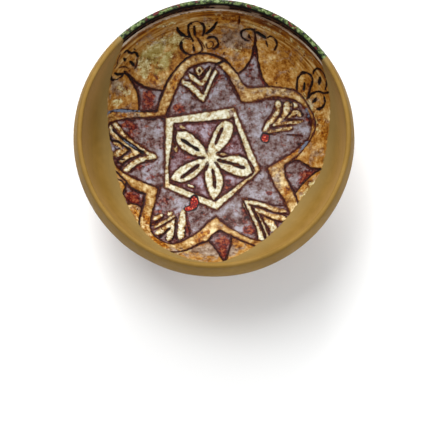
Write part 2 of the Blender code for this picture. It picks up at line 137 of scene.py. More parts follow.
# The outer line of the lobes' pale band, run by run as above
STAR_BAND = (
    ((-42.5, 28), (-40.5, 36), (-37.5, 44), (-34.5, 51), (-30.5, 57.5), (-25, 64), (-19, 69),
     (-11, 71.5), (-3, 71), (4, 68.3), (9, 65.2), (13, 61), (17, 56.5)),
    ((17, 56.5), (19.5, 51.5), (24, 47.2), (31, 46.6), (39, 47), (50, 46), (60, 43.5), (66.5, 38),
     (71, 31), (75, 23), (76, 15), (72.5, 7.5), (67, 1), (61.5, -5.5), (52, -11.5)),
    ((52, -11.5), (52.5, -19), (56, -27), (60, -35), (63, -42), (66, -52), (64, -66), (55, -79),
     (44, -83), (34, -79), (27, -74.5), (20, -70.5), (12, -65.5), (5, -61.5)),
    ((5, -61.5), (0, -65), (-3.5, -70.3), (-10, -73.8), (-17, -79), (-24, -83), (-32, -85.5),
     (-41, -84), (-49, -79), (-54.5, -71), (-55.5, -61), (-54, -52), (-51.5, -42), (-50, -34.5)),
    ((-50, -34.5), (-57, -33), (-62, -30), (-66, -25.5), (-71, -21.5), (-78, -15), (-84, -5),
     (-86.5, 8), (-84, 20), (-79, 25), (-70, 27), (-56, 27.3), (-42.5, 28)),
)
# The spikes outside the notches, each as its sides from notch to tip and back
SPIKES = (
    (((17, 56.5), (21, 59.2), (25, 64), (28, 70.5), (30, 79), (31.2, 90)),
     ((31.2, 90), (31.3, 79), (31.8, 70), (33.5, 60), (36, 52.5), (39.3, 47)),
     ((39.3, 47), (31, 46.6), (24, 47.2), (19.5, 51.5), (17, 56.5))),
    (((-38, 43.5), (-45, 43.8), (-52, 45.5), (-60, 49.5), (-69, 56)),
     ((-69, 56), (-61, 47), (-57, 39), (-55.8, 27.3)),
     ((-55.8, 27.3), (-42.5, 28)),
     ((-42.5, 28), (-40.5, 36), (-38, 43.5))),
    (((-52, -46), (-58, -44), (-64, -45), (-72, -50)),
     ((-72, -50), (-69, -41), (-65.5, -33), (-64.5, -27.5)),
     ((-64.5, -27.5), (-60, -31.5), (-50, -34.5)),
     ((-50, -34.5), (-51, -40), (-52, -46))),
    (((-3.5, -70.3), (0, -74.5), (3.5, -81), (6.5, -88), (9.5, -95)),
     ((9.5, -95), (11, -84), (13, -75), (13.5, -66.5)),
     ((13.5, -66.5), (5, -61.5)),
     ((5, -61.5), (0, -65), (-3.5, -70.3))),
    (((52, -11.5), (57, -9.5), (62, -8.8), (67, -12), (73, -15.8), (82, -18)),
     ((82, -18), (75, -20), (70, -23.5), (65, -28), (60.5, -34)),
     ((60.5, -34), (56, -27), (52.5, -19), (52, -11.5))),
)
# The pentagon round the rosette: its outer corners, and the inner edge of its band
PENTAGON = ((14.6, 32), (-36, 23.6), (-36, -28.8), (2.5, -45.3), (34.3, -15))
PENTAGON_INSIDE = ((13.8, 24.3), (0, 22), (-30, 19.7), (-30.8, 5), (-32.3, -6), (-33.4, -15),
                   (-32, -25.5), (1, -38.8), (29.2, -17.5))
# The petals of the rosette, each as one side out to its tip and the other back
PETALS = (
    (((-5, -2), (-3, 5), (0, 12.5), (3.5, 18.5), (8, 21.8)),
     ((8, 21.8), (12, 20.5), (13.6, 16.5), (12, 10), (8.5, 4.5), (2.5, -2.5))),
    (((-5, -2), (-9.5, 4), (-14.5, 9.5), (-21, 13.3), (-26.5, 13.2)),
     ((-26.5, 13.2), (-27.8, 8), (-25, 2.5), (-18, -2.5), (-7, -6))),
    (((-7, -6), (-15, -8.8), (-22.5, -12.5), (-28, -17), (-31.5, -22.3)),
     ((-31.5, -22.3), (-25, -24), (-19, -23), (-13, -19), (-4.5, -10))),
    (((-4.5, -10), (-6.2, -19), (-4.5, -28), (0, -37.5)),
     ((0, -37.5), (4, -32.5), (6.4, -26), (5.8, -19.5), (1, -9.5))),
    (((1, -8.5), (5, -13.5), (12, -16.5), (20, -19.7), (26, -18.2), (28.8, -15)),
     ((28.8, -15), (25, -8.5), (19, -4.8), (12, -4.6), (6, -6), (2.5, -4))),
)
ROSETTE_MIDDLE = ((-2, -5.5), 4.6)

# Strips of pale slip left standing in the lobes: width, then the points they run through
PALE_STROKES = (
    (4.2, ((-8.3, 37.5), (-13, 42.5), (-18, 47), (-23, 50.5))),
    (3.6, ((-8.3, 37.5), (-6.5, 42), (-3.5, 49), (0.5, 58))),
    (3.0, ((-10, 48.5), (-14, 52), (-18.5, 55.5))),
    (2.6, ((-9.5, 48.5), (-6.5, 54), (-3.5, 61))),
    (2.2, ((-11.5, 60.8), (-13.6, 58.6), (-11.5, 56.3), (-9.5, 58.5), (-11.5, 60.8))),
    (2.8, ((36.5, 14.5), (40.5, 20), (45, 25.5), (47, 30.5), (46.8, 36))),
    (2.0, ((39.5, 13.6), (47, 14.6), (57, 16))),
    (3.4, ((43.5, 18.6), (48, 22), (52.5, 27), (54.5, 35))),
    (1.7, ((43.5, 18.3), (52, 19.6), (59, 20), (65, 20.6))),
    (3.0, ((54.5, 24), (58, 26.5), (62, 27), (63.8, 24.6))),
    (2.4, ((57.5, 33), (61.5, 32))),
    (2.6, ((22, -38.7), (28, -39.5), (36, -42), (44, -45.5), (54, -48.5))),
    (3.4, ((22.5, -39), (27, -47), (31, -56), (34, -64), (36.5, -72))),
    (3.0, ((31, -45), (38, -48.7), (46, -52), (54, -54.5))),
    (1.9, ((32.7, -49), (36.5, -57), (39, -64), (41.5, -72))),
    (4.6, ((38.5, -53), (43, -58), (46, -64))),
    (4.0, ((-22, -46.5), (-22.5, -54), (-23.5, -61), (-24.5, -69))),
    (2.3, ((-28.5, -50.5), (-36, -56.5), (-43.5, -62))),
    (3.6, ((-28.3, -54), (-33.5, -60), (-42.5, -68))),
    (4.0, ((-29.5, -59), (-31.5, -66), (-33.5, -72))),
    (3.0, ((-33, -50), (-31, -48.5))),
    (2.6, ((-43.5, -55), (-38, -50.5))),
    (2.6, ((-42.5, -6), (-50, -2.5), (-59, 2.8), (-67, 9), (-72, 14), (-75.5, 17.5))),
    (3.4, ((-42.5, -6.3), (-50, -8), (-57, -11), (-62, -15.5), (-66, -18))),
    (3.2, ((-55, -3.6), (-62, 0), (-69, 4.5), (-75.5, 9), (-78.5, 14))),
    (2.8, ((-55, -4), (-62, -7), (-69.5, -11.5))),
    (3.4, ((-64, -2.2), (-70, -5), (-74, -7))),
    (2.2, ((-75, 1.8), (-71, 1), (-68.5, -1))),
    (2.0, ((2, -2.6), (5, -2.8), (8.5, -3.6))),
    (1.6, ((-28.2, 2.8), (-27.8, -1.5))),
    (1.8, ((-25, 17.2), (-21.5, 15.6))),
    (1.5, ((-19, -26.5), (-15, -28))),
)

# The incised and painted lines: width, how black they are from red-brown 0 to blue-black
# 1, and the points they run through
LINES = (
    # The slits of the petals
    (3.1, 0.4, ((0.9, 4.2), (3.2, 10.5), (6.2, 16.6))),
    (3.0, 0.9, ((-11, -0.6), (-17, 3), (-24, 8))),
    (3.1, 0.4, ((-11, -11.3), (-17, -16), (-24, -21.4))),
    (3.2, 0.4, ((-0.9, -14.5), (0.4, -21), (1.2, -28.6))),
    (3.6, 0.6, ((2.8, -7.2), (12, -10), (22.6, -13.4))),
    (1.3, 0.5, ((1.2, -2.9), (4, -1.6), (8.5, -2))),
    (2.2, 0.4, ((-28.9, 16.5), (-29.4, 9), (-28.6, 1.5))),
    (1.4, 0.5, ((-12, -5.2), (-7, -6))),
    (2.6, 0.3, ((-7, -16), (-4, -11.5))),
    # The far lobe
    (1.7, 0.5, ((-27.5, 48.5), (-21, 46.3), (-15, 40.3), (-8.2, 34.8))),
    (1.5, 0.3, ((-8.2, 34.8), (-5, 41), (-1.3, 50), (3, 57.5))),
    (1.6, 0.2, ((-22, 51.3), (-16, 50.2), (-10.5, 44.3), (-8, 41.5))),
    (2.0, 0.6, ((-8.4, 43), (-5.5, 49.5), (-2.5, 57), (0.5, 61.5))),
    (1.8, 0.7, ((-19, 57.8), (-14.5, 54.7), (-11, 51.8))),
    (3.0, 0.5, ((-10.5, 51.8), (-8, 56.5), (-3.5, 62))),
    (1.6, 0.6, ((-11.4, 59.6), (-11.2, 57.4))),
    (1.9, 0.5, ((-15, 60.5), (-14.7, 56.5))),
    (2.2, 0.8, ((0, 62.5), (4, 64.6), (7.2, 66.2), (10, 64.8))),
    # The right lobe
    (1.7, 0.2, ((35, 14.5), (37.5, 21), (42, 27), (44.5, 33))),
    (1.4, 0.3, ((40.5, 17.8), (45, 21.4), (49, 26.5), (50.3, 34))),
    (1.7, 0.2, ((40.5, 16.7), (49, 17.6), (57, 17.9))),
    (1.6, 0.4, ((51.5, 22.3), (55, 26), (58, 30.5), (58.2, 34.5))),
    (1.8, 0.4, ((51.5, 22.2), (58, 21.8), (64.5, 21.6))),
    (2.0, 0.2, ((58.5, 23.4), (61.3, 25.6))),
    (1.4, 0.3, ((57, 29), (62, 29.3))),
    (1.5, 0.2, ((39, 11.8), (45.5, 11.4))),
    (1.3, 0.3, ((53, 11.2), (60, 10.2), (65, 9.8))),
    # The near right lobe
    (1.5, 0.3, ((21, -36.3), (29, -37.4), (37, -39.6), (46, -42.4), (54, -43.5))),
    (1.7, 0.4, ((21, -36.5), (24.3, -44), (28, -52.5), (31, -61), (33.3, -71))),
    (1.7, 0.4, ((27.5, -41.3), (34, -43.6), (41, -46.8), (48, -49.4), (56, -51))),
    (2.5, 0.5, ((27.8, -41.5), (30.8, -48.5), (34.5, -57), (37.5, -64.5), (39.3, -71))),
    (1.6, 0.4, ((34, -48.5), (40, -52), (46, -55), (51.5, -57.5))),
    (1.9, 0.4, ((34, -48.8), (37, -55), (39.8, -61), (42, -68))),
    # The near left lobe
    (1.5, 0.3, ((-26.8, -51), (-34, -56.8), (-40, -61), (-45.5, -65))),
    (2.2, 0.8, ((-31.8, -60.8), (-35.5, -65.5), (-40.5, -71.5))),
    (2.2, 0.6, ((-26.7, -51.5), (-27.2, -58), (-28, -64), (-27, -71))),
    (2.1, 0.2, ((-19.7, -47), (-19.4, -55), (-17.2, -62.5), (-17.6, -67))),
    (2.6, 0.2, ((-36.5, -52.3), (-41.5, -56.8), (-46.2, -60.5))),
    # The left lobe
    (1.5, 0.3, ((-43, -4), (-50, -0.6), (-58, 4.6), (-65, 11))),
    (1.5, 0.5, ((-41.5, -7.6), (-50, -10), (-56, -13), (-61.5, -18))),
    (2.6, 0.9, ((-51, -3.6), (-57, -0.6), (-64.5, 4), (-71, 8.2), (-76.5, 12.5))),
    (2.0, 0.6, ((-51, -4), (-57, -6.4), (-62.5, -9.6), (-67, -13.5), (-69.5, -18))),
    (2.0, 0.9, ((-61.5, -2), (-67, 0.8), (-72, 3.6), (-76.5, 3.6), (-79, 8))),
    (1.7, 0.7, ((-61.5, -2), (-65.5, -5.6), (-70, -9))),
    (1.7, 0.8, ((-75, -1), (-72, -2.6), (-69.5, -1.4))),
    (1.5, 0.8, ((-76, -10.2), (-66, -9.6))),
    (1.6, 0.9, ((-71.5, -25.8), (-67, -28), (-65.4, -32), (-68, -38.5))),
    # The palmette over the far lobe
    (2.7, 1.0, ((-30.8, 93), (-27.9, 88.4), (-24.7, 85.8), (-19.5, 83.8))),
    (1.0, 0.6, ((-18.8, 97.4), (-15, 98.6), (-11.5, 97.6))),
    (2.7, 0.9, ((-18.8, 97.4), (-20.8, 94.5), (-21, 90), (-19.6, 85), (-16.6, 80.5))),
    (2.3, 0.8, ((-16.6, 94.5), (-16.3, 90), (-15.4, 85.5))),
    (2.6, 0.9, ((-11.5, 97.6), (-9.2, 94), (-8.6, 90), (-9.4, 85.4))),
    (2.6, 1.0, ((1.6, 98.3), (-0.7, 93.6), (-4.1, 89.6), (-7.2, 86.6))),
    (2.6, 0.9, ((-26.2, 81), (-25.8, 76), (-23.4, 72.6), (-20, 70.6))),
    (1.5, 0.5, ((-20.5, 70.6), (-15.3, 70.6), (-10.3, 73))),
    (1.0, 0.4, ((-26, 81), (-22.5, 83.2), (-18.5, 82))),
    (1.8, 0.5, ((-13, 82.5), (-11.2, 79.5), (-9.7, 76.5), (-9.7, 72.5))),
    (2.1, 0.8, ((-6.5, 83.4), (-2.3, 84.4), (1.3, 83), (2.6, 79.6), (1.2, 76.2), (-2.2, 74.6))),
    (1.0, 0.3, ((-7, 79.5), (-5.6, 75.6), (-2.3, 76), (-0.9, 79), (-2.7, 81), (-5.1, 80.2))),
    (2.0, 0.8, ((-16.3, 77), (-15.8, 73))),
    (1.0, 0.2, ((-14.5, 84), (-10, 80), (-7.5, 76))),
    # The palmette beside the right lobe
    (2.2, 0.9, ((70, 37), (73, 44), (76, 50), (75, 55), (69, 57), (63.5, 53), (61.5, 43))),
    (2.9, 1.0, ((67.5, 43.5), (69, 49))),
    (2.1, 0.9, ((77, 55), (80, 59), (86, 60.5), (91, 56), (91.5, 50), (88, 42.5))),
    (2.9, 1.0, ((82, 47.5), (85, 53.5))),
    (2.1, 0.9, ((70, 37), (74, 40.5), (80, 41.8), (86, 40.5), (92, 41))),
    (2.4, 1.0, ((86, 38), (86.5, 33.5), (83, 29.5), (78, 28.5))),
    (3.0, 1.0, ((74.5, 34), (78, 37))),
    # The finial of the far right spike
    (2.0, 1.0, ((31.7, 91.2), (27.1, 92), (22.5, 91), (20.3, 88), (21.1, 84.8), (23.9, 82.4), (26.3, 82))),
    (2.3, 0.8, ((26.7, 87.4), (27, 83.6))),
    (3.6, 1.0, ((31.6, 90), (35.9, 87.8), (40.2, 84.8))),
    (1.9, 0.9, ((41, 85), (44.9, 86.6), (48.1, 83.4), (48.6, 79), (46, 74.2))),
    (1.5, 0.9, ((40, 82), (40.8, 77))),
    (3.4, 0.3, ((31.3, 87), (31.1, 80), (31, 73))),
    # The finial of the far left spike
    (2.2, 1.0, ((-75, 72.5), (-71.5, 74), (-68, 71.8), (-62.5, 71.8), (-59.6, 68))),
    (1.4, 0.7, ((-65, 75.2), (-63.5, 74))),
    (1.2, 0.5, ((-78, 71.5), (-79.5, 67), (-78.5, 62.5), (-80, 59))),
    (2.6, 1.0, ((-73.3, 67.3), (-71, 65))),
    (3.0, 1.0, ((-66.3, 64.5), (-61.8, 61))),
    (1.3, 0.5, ((-60.5, 67), (-60, 62), (-61.5, 58.5))),
    (1.2, 0.4, ((-76, 59.5), (-71, 60.5), (-67, 59))),
    (1.8, 1.0, ((-82.5, 53), (-81, 50), (-77.5, 49.8), (-73.5, 51.5), (-70.5, 55.5))),
    (2.2, 1.0, ((-79.5, 55), (-75.5, 54), (-71, 54.8))),
    (2.4, 1.0, ((-70.5, 56.5), (-66, 53.3), (-62, 49.6))),
    # A join between sherds under the far rim
    (0.9, 0.6, ((24, 129), (22.2, 119), (20.7, 111.6))),
    (1.5, 0.1, ((20.2, 105), (19.7, 101.4), (19.2, 96.5))),
)
# How wide and how black the lines along the drawing's outlines are, run by run
BODY_LINES = ((1.4, 0.5), (1.2, 0.2), (1.2, 0.3), (1.6, 0.5), (1.3, 0.5))
BAND_LINES = ((1.9, 0.7), (1.3, 0.3), (1.7, 0.5), (1.8, 0.6), (1.7, 0.8))
SPIKE_LINE = (1.6, 0.6)
PENTAGON_LINE = (0.9, 0.2)
PENTAGON_INSIDE_LINE = (1.3, 0.35)
PETAL_LINE = (1.35, 0.35)

# The drawn widths as shares of the traced ones, and the room added round the petals and
# inside the pentagon's band
OUTLINE_SHARE = 0.85
LINE_SHARE = 0.86
PALE_SHARE = 1.15
PETAL_ROOM = 0.9
PENTAGON_ROOM = 0.4
# How strokes waver: the length of a tapered end, the swing of the width as a share of it,
# and how far strokes and edges sway
TAPER_LENGTH = 1.6
WIDTH_SWING = 0.22
STROKE_SWAY = 0.16
EDGE_SWAY = 0.18

# Patches of tone, each as its middle, its two half-lengths, its turn in degrees and its
# strength. Rust is the red that breaks through the violet, amber the deep glaze that
# pools, haze the grey bloom on the slip and, over the maroon near the far rim, a painted
# highlight of glare, olive the green of the ground, and worn the places where the pale
# slip is thin
RUST = (
    (-61, 16, 14, 6, -5, 0.5), (-56, -14, 9, 4, -12, 0.6), (-38, 5, 4, 12, 0, 0.35),
    (-36, -42, 8, 6, 0, 0.5), (-46, -21, 6, 3.5, 0, 0.55), (10, -58, 5, 3, 0, 0.5),
    (24, -57, 4, 8, -20, 0.5), (0, 40, 8, 3, 20, 0.35), (31, 79, 2.4, 10, 0, 1.3),
    (-26, 30.5, 4.2, 4.6, 0, 1.0), (-60, 15.5, 6.5, 3.2, -20, 1.0), (-61, 9.5, 4, 3, 0, 0.8),
    (-66, 16, 4, 2.5, 0, 0.9), (-51, -13, 4.5, 1.8, 15, 0.9), (-45, 5, 3, 2.5, 0, 0.4),
    (-49, 37, 5.5, 7, 0, 1.0), (-50, 31, 4, 3, 0, 0.9), (-59, -39, 7, 5, 0, 1.1),
    (7.5, -72, 6, 6, 0, 1.1), (7.5, -82, 3, 6, 0, 1.2), (26, -61.5, 5, 4.5, -50, 1.1),
    (3.5, 53, 3.6, 4.2, 0, 0.7), (10.5, -26, 2.4, 5, 0, 1.0), (-18.8, -59, 1.8, 8, 0, 1.0),
    (40, -32.5, 2.6, 2, 0, 0.9), (-40, -47.5, 5, 2.2, 10, 0.9), (68, -22, 8, 4.5, 30, 1.0),
    (36.5, 53, 2.2, 7, 15, 1.0), (27, 62, 3, 4, 0, 0.5), (7, 4, 4, 3.5, 30, 0.8),
    (-13, 8, 3, 3, 0, 0.6), (-16, -6.5, 6, 2.2, -10, 0.9), (8, -35, 5, 3, 35, 0.7),
    (-8, 20, 5, 2, 0, 0.4), (25, 56, 2.5, 3, 0, 0.6), (18, 55, 2, 2, 0, 0.5),
    (38.3, 32.5, 1, 1.8, 0, 0.9), (25.5, 31, 1.2, 1, 0, 0.8), (-33, -37, 6, 2.5, 0, 0.55),
    (-28, -46, 4, 2, 20, 0.7), (22, -46, 2.4, 6, 20, 0.6), (-38, 3, 2, 5, 0, 0.5),
    (47.5, 19, 2, 1.2, 0, 0.6), (-1, 47, 1.6, 5, 0, 0.6), (51, -38, 3, 3, 0, 0.6),
    (13, 22, 3, 2, 0, 0.4), (-6, 32, 8, 2, 10, 0.5), (36.5, 20, 2, 6, 10, 0.5),
)
AMBER = (
    (-29, 50, 3.2, 10, -22, 1.0), (-2, 69.3, 8, 2, -8, 0.9), (18, 43, 3, 5, 25, 0.5),
    (54, -5, 13, 2.2, 28, 1.2), (70, 13, 2.5, 9, 0, 0.7), (53, -32, 4, 7, 20, 0.9),
    (-8, -66.3, 8, 2.8, 42, 1.1), (-49.5, -58, 3.2, 10, 5, 0.9), (-41, -77, 10, 3.6, -30, 1.3),
    (-70, 23.3, 12, 2, 3, 0.9), (-45, 27, 3, 1.6, 30, 0.6), (20, -52.5, 12, 2, -35, 0.3),
    (-64, -15.5, 6, 2, 30, 0.6), (-73, 13, 6, 4, 0, 0.6), (-38.5, -66, 5, 3, 40, 0.9),
    (32, -15, 4, 3, 0, 0.5), (-25, 12, 2.4, 2.4, 0, 0.5), (-20, 10, 3, 1.5, -30, 0.6),
    (12, 103, 26, 7, 0, 0.9), (-45, 52, 6, 4.5, -30, 1.0), (82, 10, 9, 16, 0, 0.8),
    (-59, -53, 4, 8, 0, 1.0), (78, 26, 5, 10, 0, 0.7), (-70, 22, 12, 6, 0, 0.5),
    (-66, 66, 10, 8, 0, 0.5), (0, 88, 10, 4, 0, 0.4), (30, 84, 4, 9, 0, 0.6),
    (60, 74, 14, 5, -40, 0.7), (-18, 78, 6, 5, 0, 0.4), (45, 95, 20, 6, -30, 0.5),
    (-35, 88, 12, 5, 30, 0.6), (10, 76, 5, 5, 0, 0.35),
)
HAZE_AND_GLARE = (
    (-64, 24, 14, 2.6, 4, 1.1), (-80, 12, 4, 8, 0, 0.6), (-49, -44, 3, 6, 0, 0.3),
    (2, -80, 18, 8, 0, 1.3), (-56, 88, 8, 6, 35, 0.8), (-71, 84, 5, 8, 0, 0.7),
    (-76, 44, 8, 9, 0, 0.6), (4, 122, 9, 9, 0, 1.0), (36, 113, 5, 6, -60, 0.7),
    (13, 84, 13, 11, 0, 1.0), (17, 50, 4, 9, 25, 0.9), (45, 42.5, 18, 3.2, -3, 0.8),
    (46, -22, 4, 9, 15, 0.8), (-17, 66, 9, 2.5, 20, 0.4), (5, -57.5, 5, 3, 0, 0.7),
    (3, -40, 3, 3, 0, 0.4), (50, 26, 4, 8, -25, 0.8), (-31, -84, 10, 5, 20, 0.8),
    (-60, 15, 3, 2, 0, 0.2), (-22, 58, 3, 4, 0, 0.6), (50, -15, 6, 4, 0, 0.7),
    (-12, -84, 14, 6, 10, 0.7), (12, 72, 12, 6, 0, 0.5), (-25, -78, 7, 2.4, -10, 0.4),
    (42, 71, 12, 8, 0, 0.45), (76, 44, 5, 10, 0, 0.3), (74, -4, 8, 6, 0, 0.6),
    (2, 74, 6, 2, 0, 0.6), (67, -35, 6, 5, 0, 0.5), (-30, 104, 14, 5, 15, 0.5),
)
OLIVE = (
    (-46, 66, 14, 17, 20, 1.0), (-30, 78, 6, 10, 0, 0.8), (-70, 38, 8, 8, 0, 0.4),
    (-16, 103, 14, 4, 5, 0.3), (20, 70, 6, 8, 0, 0.3), (60, 60, 8, 8, 0, 0.3),
    (48, 66, 10, 6, 0, 0.4), (-10, 93, 16, 8, 0, 0.35),
)
WORN = (
    (-15, 53, 6, 7, 0, 0.6), (30, -50, 6, 12, 20, 0.5), (-66, 1, 15, 15, 0, 1.0),
    (-44, -7, 3, 3, 0, 0.4), (52, 22, 14, 13, 0, 0.8), (46, -52, 14, 9, -20, 0.9),
    (-39, -58, 9, 11, 0, 0.8), (33, -15, 4, 4, 0, 1.1), (20, -27, 13, 2.2, 42, 0.8),
    (-34, -27, 3.5, 3, 0, 0.8), (-20, -67, 4, 5, 0, 0.7), (-16, 50, 4, 3, 0, 0.4),
    (-33, 23, 4, 3, 0, 0.5), (6, -26, 2, 5, 0, 0.4), (-34, -14, 2.5, 8, 0, 0.5),
    (7, -4, 3, 2, 0, 0.6), (28, 4, 2.2, 5, 20, 0.5), (-10, -35, 8, 1.8, -28, 0.4),
)
# Soft washes of pale slip over the ground: width, then the points they run through
WASHES = (
    (8.5, ((-52, 54), (-54, 63), (-50, 71), (-43, 78), (-33, 82.5), (-25, 82))),
    (4.5, ((-40, 60), (-38, 66), (-33, 70))),
    (2.0, ((26, 96), (35.7, 97), (44.9, 93.6), (56.5, 88.5), (71.2, 77.8), (80, 68))),
    (2.6, ((30, 104), (45, 98), (60, 89), (70, 80))),
    (4.0, ((66, 40), (73, 30), (77.5, 19), (77.5, 12))),
    (3.0, ((20, 72), (12, 80), (12, 88))),
    (3.5, ((-80, 48), (-72, 44), (-64, 40))),
    (3.0, ((-70, 34), (-78, 32))),
    (3.0, ((-58, 92), (-46, 96), (-34, 99))),
    (2.2, ((-2, 106), (8, 106))),
    (3.0, ((75, -27), (69, -33), (66, -40))),
    (3.0, ((-40, -91), (-28, -84), (-14, -82))),
)
# Painted reflections: bluish glints along some grooves and edges, in the same form as the patches
GLINTS = ((-69, 26.6, 12, 1.2, 4, 1.0), (-81, 23.5, 4, 1.2, 40, 1.0), (66, 1.5, 6, 1.3, 45, 1.0),
          (-62, 2.2, 7, 0.9, -30, 0.8), (70, 27, 2, 4, 20, 0.7), (0, 72, 5, 1, -10, 0.6),
          (8, 54, 1.4, 5, 25, 0.5))
# Hollow chips where the glaze is gone
CHIPS = ((37.2, 9.2, 2.9, 3.6, 20, 1.0), (-14.2, -39.5, 3.0, 4.8, 0, 1.0), (-18, -44.3, 3.4, 2.0, 20, 1.0))
STAINS = ((13, 26.5, 2.1, 4.2, 8, 1.0),)
TONES = {
    "rust": RUST, "amber": AMBER, "haze_and_glare": HAZE_AND_GLARE, "olive": OLIVE, "worn": WORN, "glint": GLINTS,
    "stain": STAINS,
}

# The line of the break on the inside's plan, from lip to lip round the near side
BREAK = (
    (-93.3, 94.8), (-80.5, 80), (-82.5, 60), (-82.5, 28), (-76, -8), (-67, -40), (-50, -71),
    (-28, -88), (0, -95.5), (20, -86.5), (45, -66), (64, -42), (81, -20), (87.5, 5),
    (92.5, 35), (93.5, 66), (109, 76),
)

# Lines turned into the original rim. Inside: distance below the crest along the wall, width
# and how black. Outside: heights below the crest, with the wave cut between them
INSIDE_RINGS = ((0.0203, 1.6, 0.6), (0.0145, 2.2, 0.7))
OUTSIDE_RINGS = (0.0043, 0.0064, 0.0143, 0.0174)
OUTSIDE_LINE = (1.2, 0.3)
WAVE_DROP = 0.0105
WAVE_RISE = 0.0022
WAVE_COUNT = 62

# The photograph's view: from above the near side, with the rim's middle above the frame's
VIEW_ELEVATION = math.radians(77.66)
VIEW_AZIMUTH = math.radians(0.56)
VIEW_DISTANCE = 1.3484
FOCAL_PIXELS = 1919
FRAME_PIXELS = 426
RIM_ABOVE_MIDDLE = 81.1
RIM_RIGHT_OF_MIDDLE = 1.0

# The lamps' names, places, sizes and powers, and what they face
LAMPS = (
    ("key", (-0.35, 0.45, 1.45), 0.7, 15),
    ("back", (-0.1, 1.3, 0.95), 0.8, 20),
    ("fill", (0.8, -0.5, 1.2), 1.0, 6),
)
LAMP_TARGET = (0, 0, 0.06)


def bezier(start, first, second, end, steps):
    """Points along a cubic curve, both ends included."""
    share = np.linspace(0, 1, steps + 1)[:, None]
    rest = 1 - share
    start, first, second, end = map(np.array, (start, first, second, end))
    return rest**3 * start + 3 * share * rest**2 * first + 3 * share**2 * rest * second + share**3 * end


def between(start, end, across, along):
    """The point at these shares of the way from start to end, in radius and in height."""
    return start[0] + across * (end[0] - start[0]), start[1] + along * (end[1] - start[1])


def lengths_along(path):
    """The distance along a path of each of its points."""
    return np.concatenate([[0], np.cumsum(np.hypot(*np.diff(path, axis=0).T))])


def resampled(path, step):
    """The same path in equal steps."""
    along = lengths_along(path)
    count = max(1, math.ceil(along[-1] / step))
    marks = np.linspace(0, along[-1], count + 1)
    return np.stack([np.interp(marks, along, column) for column in path.T], axis=1)


def heading(bearing):
    """Steps of length one on the plan, along bearings in radians."""
    return np.stack([np.cos(bearing), np.sin(bearing)], axis=1)


def leftwards(run):
    """Steps of length one to the left of each of these steps."""
    run = run / np.maximum(np.hypot(*run.T), 1e-9)[:, None]
    return np.stack([-run[:, 1], run[:, 0]], axis=1)


def smoothstep(value, low, high):
    share = np.clip((value - low) / (high - low), 0, 1)
    return share * share * (3 - 2 * share)


class Side:
    """One side of the section: a profile in fine steps, and the plan of what it turns."""

    def __init__(self, curves, into):
        runs = [bezier(*curve, CURVE_POINTS)[bool(index):] for index, curve in enumerate(curves)]
        self.profile = resampled(np.concatenate(runs), PROFILE_STEP / 1000)
        self.along = lengths_along(self.profile)
        self.reach = self.along[-1]
        tangent = np.gradient(self.profile, axis=0)
        tangent /= np.hypot(*tangent.T)[:, None]
        self.into = into * np.stack([tangent[:, 1], -tangent[:, 0]], axis=1)
        # Triangles are found on a map of the surface that keeps angles
        radius = self.profile[:, 0]
        with np.errstate(divide="ignore", invalid="ignore"):
            stretch = np.where(radius > 1e-4, 1 / radius - 1 / self.along, 0)
        growth = np.concatenate([[0], np.cumsum(stretch[1:] * np.diff(self.along))])
        self.angled = self.along * np.exp(growth)

    def section(self, distance):
        """Radius and height at a distance along the profile."""
        return [np.interp(distance, self.along, column) for column in self.profile.T]

    def place(self, plan, depth, unit):
        """Points in space for points of the plan, sunk into the clay by a depth."""
        distance = np.hypot(*plan.T) * unit
        bearing = np.arctan2(plan[:, 1], plan[:, 0])
        radius, height = self.section(distance)
        radius = radius + depth * np.interp(distance, self.along, self.into[:, 0])
        height = height + depth * np.interp(distance, self.along, self.into[:, 1])
        return np.stack([radius * np.cos(bearing), radius * np.sin(bearing), height], axis=1)

    def mapped(self, plan, unit):
        """Points of the plan on the map that keeps angles."""
        distance = np.hypot(*plan.T)
        scale = np.interp(distance * unit, self.along, self.angled) / unit / np.maximum(distance, 1e-9)
        return plan * scale[:, None]

    def rings(self, spacing):
        """Distances along the profile for rings of points, closer where it turns sharply."""
        turn = np.unwrap(np.arctan2(*np.diff(self.profile, axis=0).T))
        bend = np.abs(np.convolve(np.gradient(turn), np.ones(3) / 3, "same"))
        step = np.diff(self.along)
        closest = step / (LEAST_SHARE * spacing)
        pace = np.maximum(step / (ROW_SHARE * spacing), np.minimum(bend / LARGEST_TURN, closest))
        count = np.concatenate([[0], np.cumsum(pace)])
        marks = np.linspace(0, count[-1], math.ceil(count[-1]) + 1)
        return np.interp(marks[1:-1], count, self.along)


def inside_curves():
    """The inside, from the middle of the floor to the crest of the lip."""
    floor = (0, FOOT_HEIGHT + FLOOR_THICKNESS)
    edge = (FLOOR_RADIUS, floor[1] + FLOOR_RISE)
    widest = (BOWL_RADIUS - WALL, BOWL_HEIGHT - RIM_HEIGHT + 0.8 * WALL)
    lip = BOWL_RADIUS - LIP_INSET
    turn = (lip - LIP_ROUND, BOWL_HEIGHT - LIP_ROUND)
    crest = (lip, BOWL_HEIGHT)
    yield floor, between(floor, edge, 0.63, 0), between(floor, edge, 0.82, 0.47), edge
    yield edge, between(edge, widest, 0.61, 0.08), between(edge, widest, 1, 0.52), widest
    yield widest, between(widest, turn, 0, 0.4), between(widest, turn, 0.8, 0.7), turn
    yield turn, between(turn, crest, 0, 0.55), between(turn, crest, 0.45, 1), crest


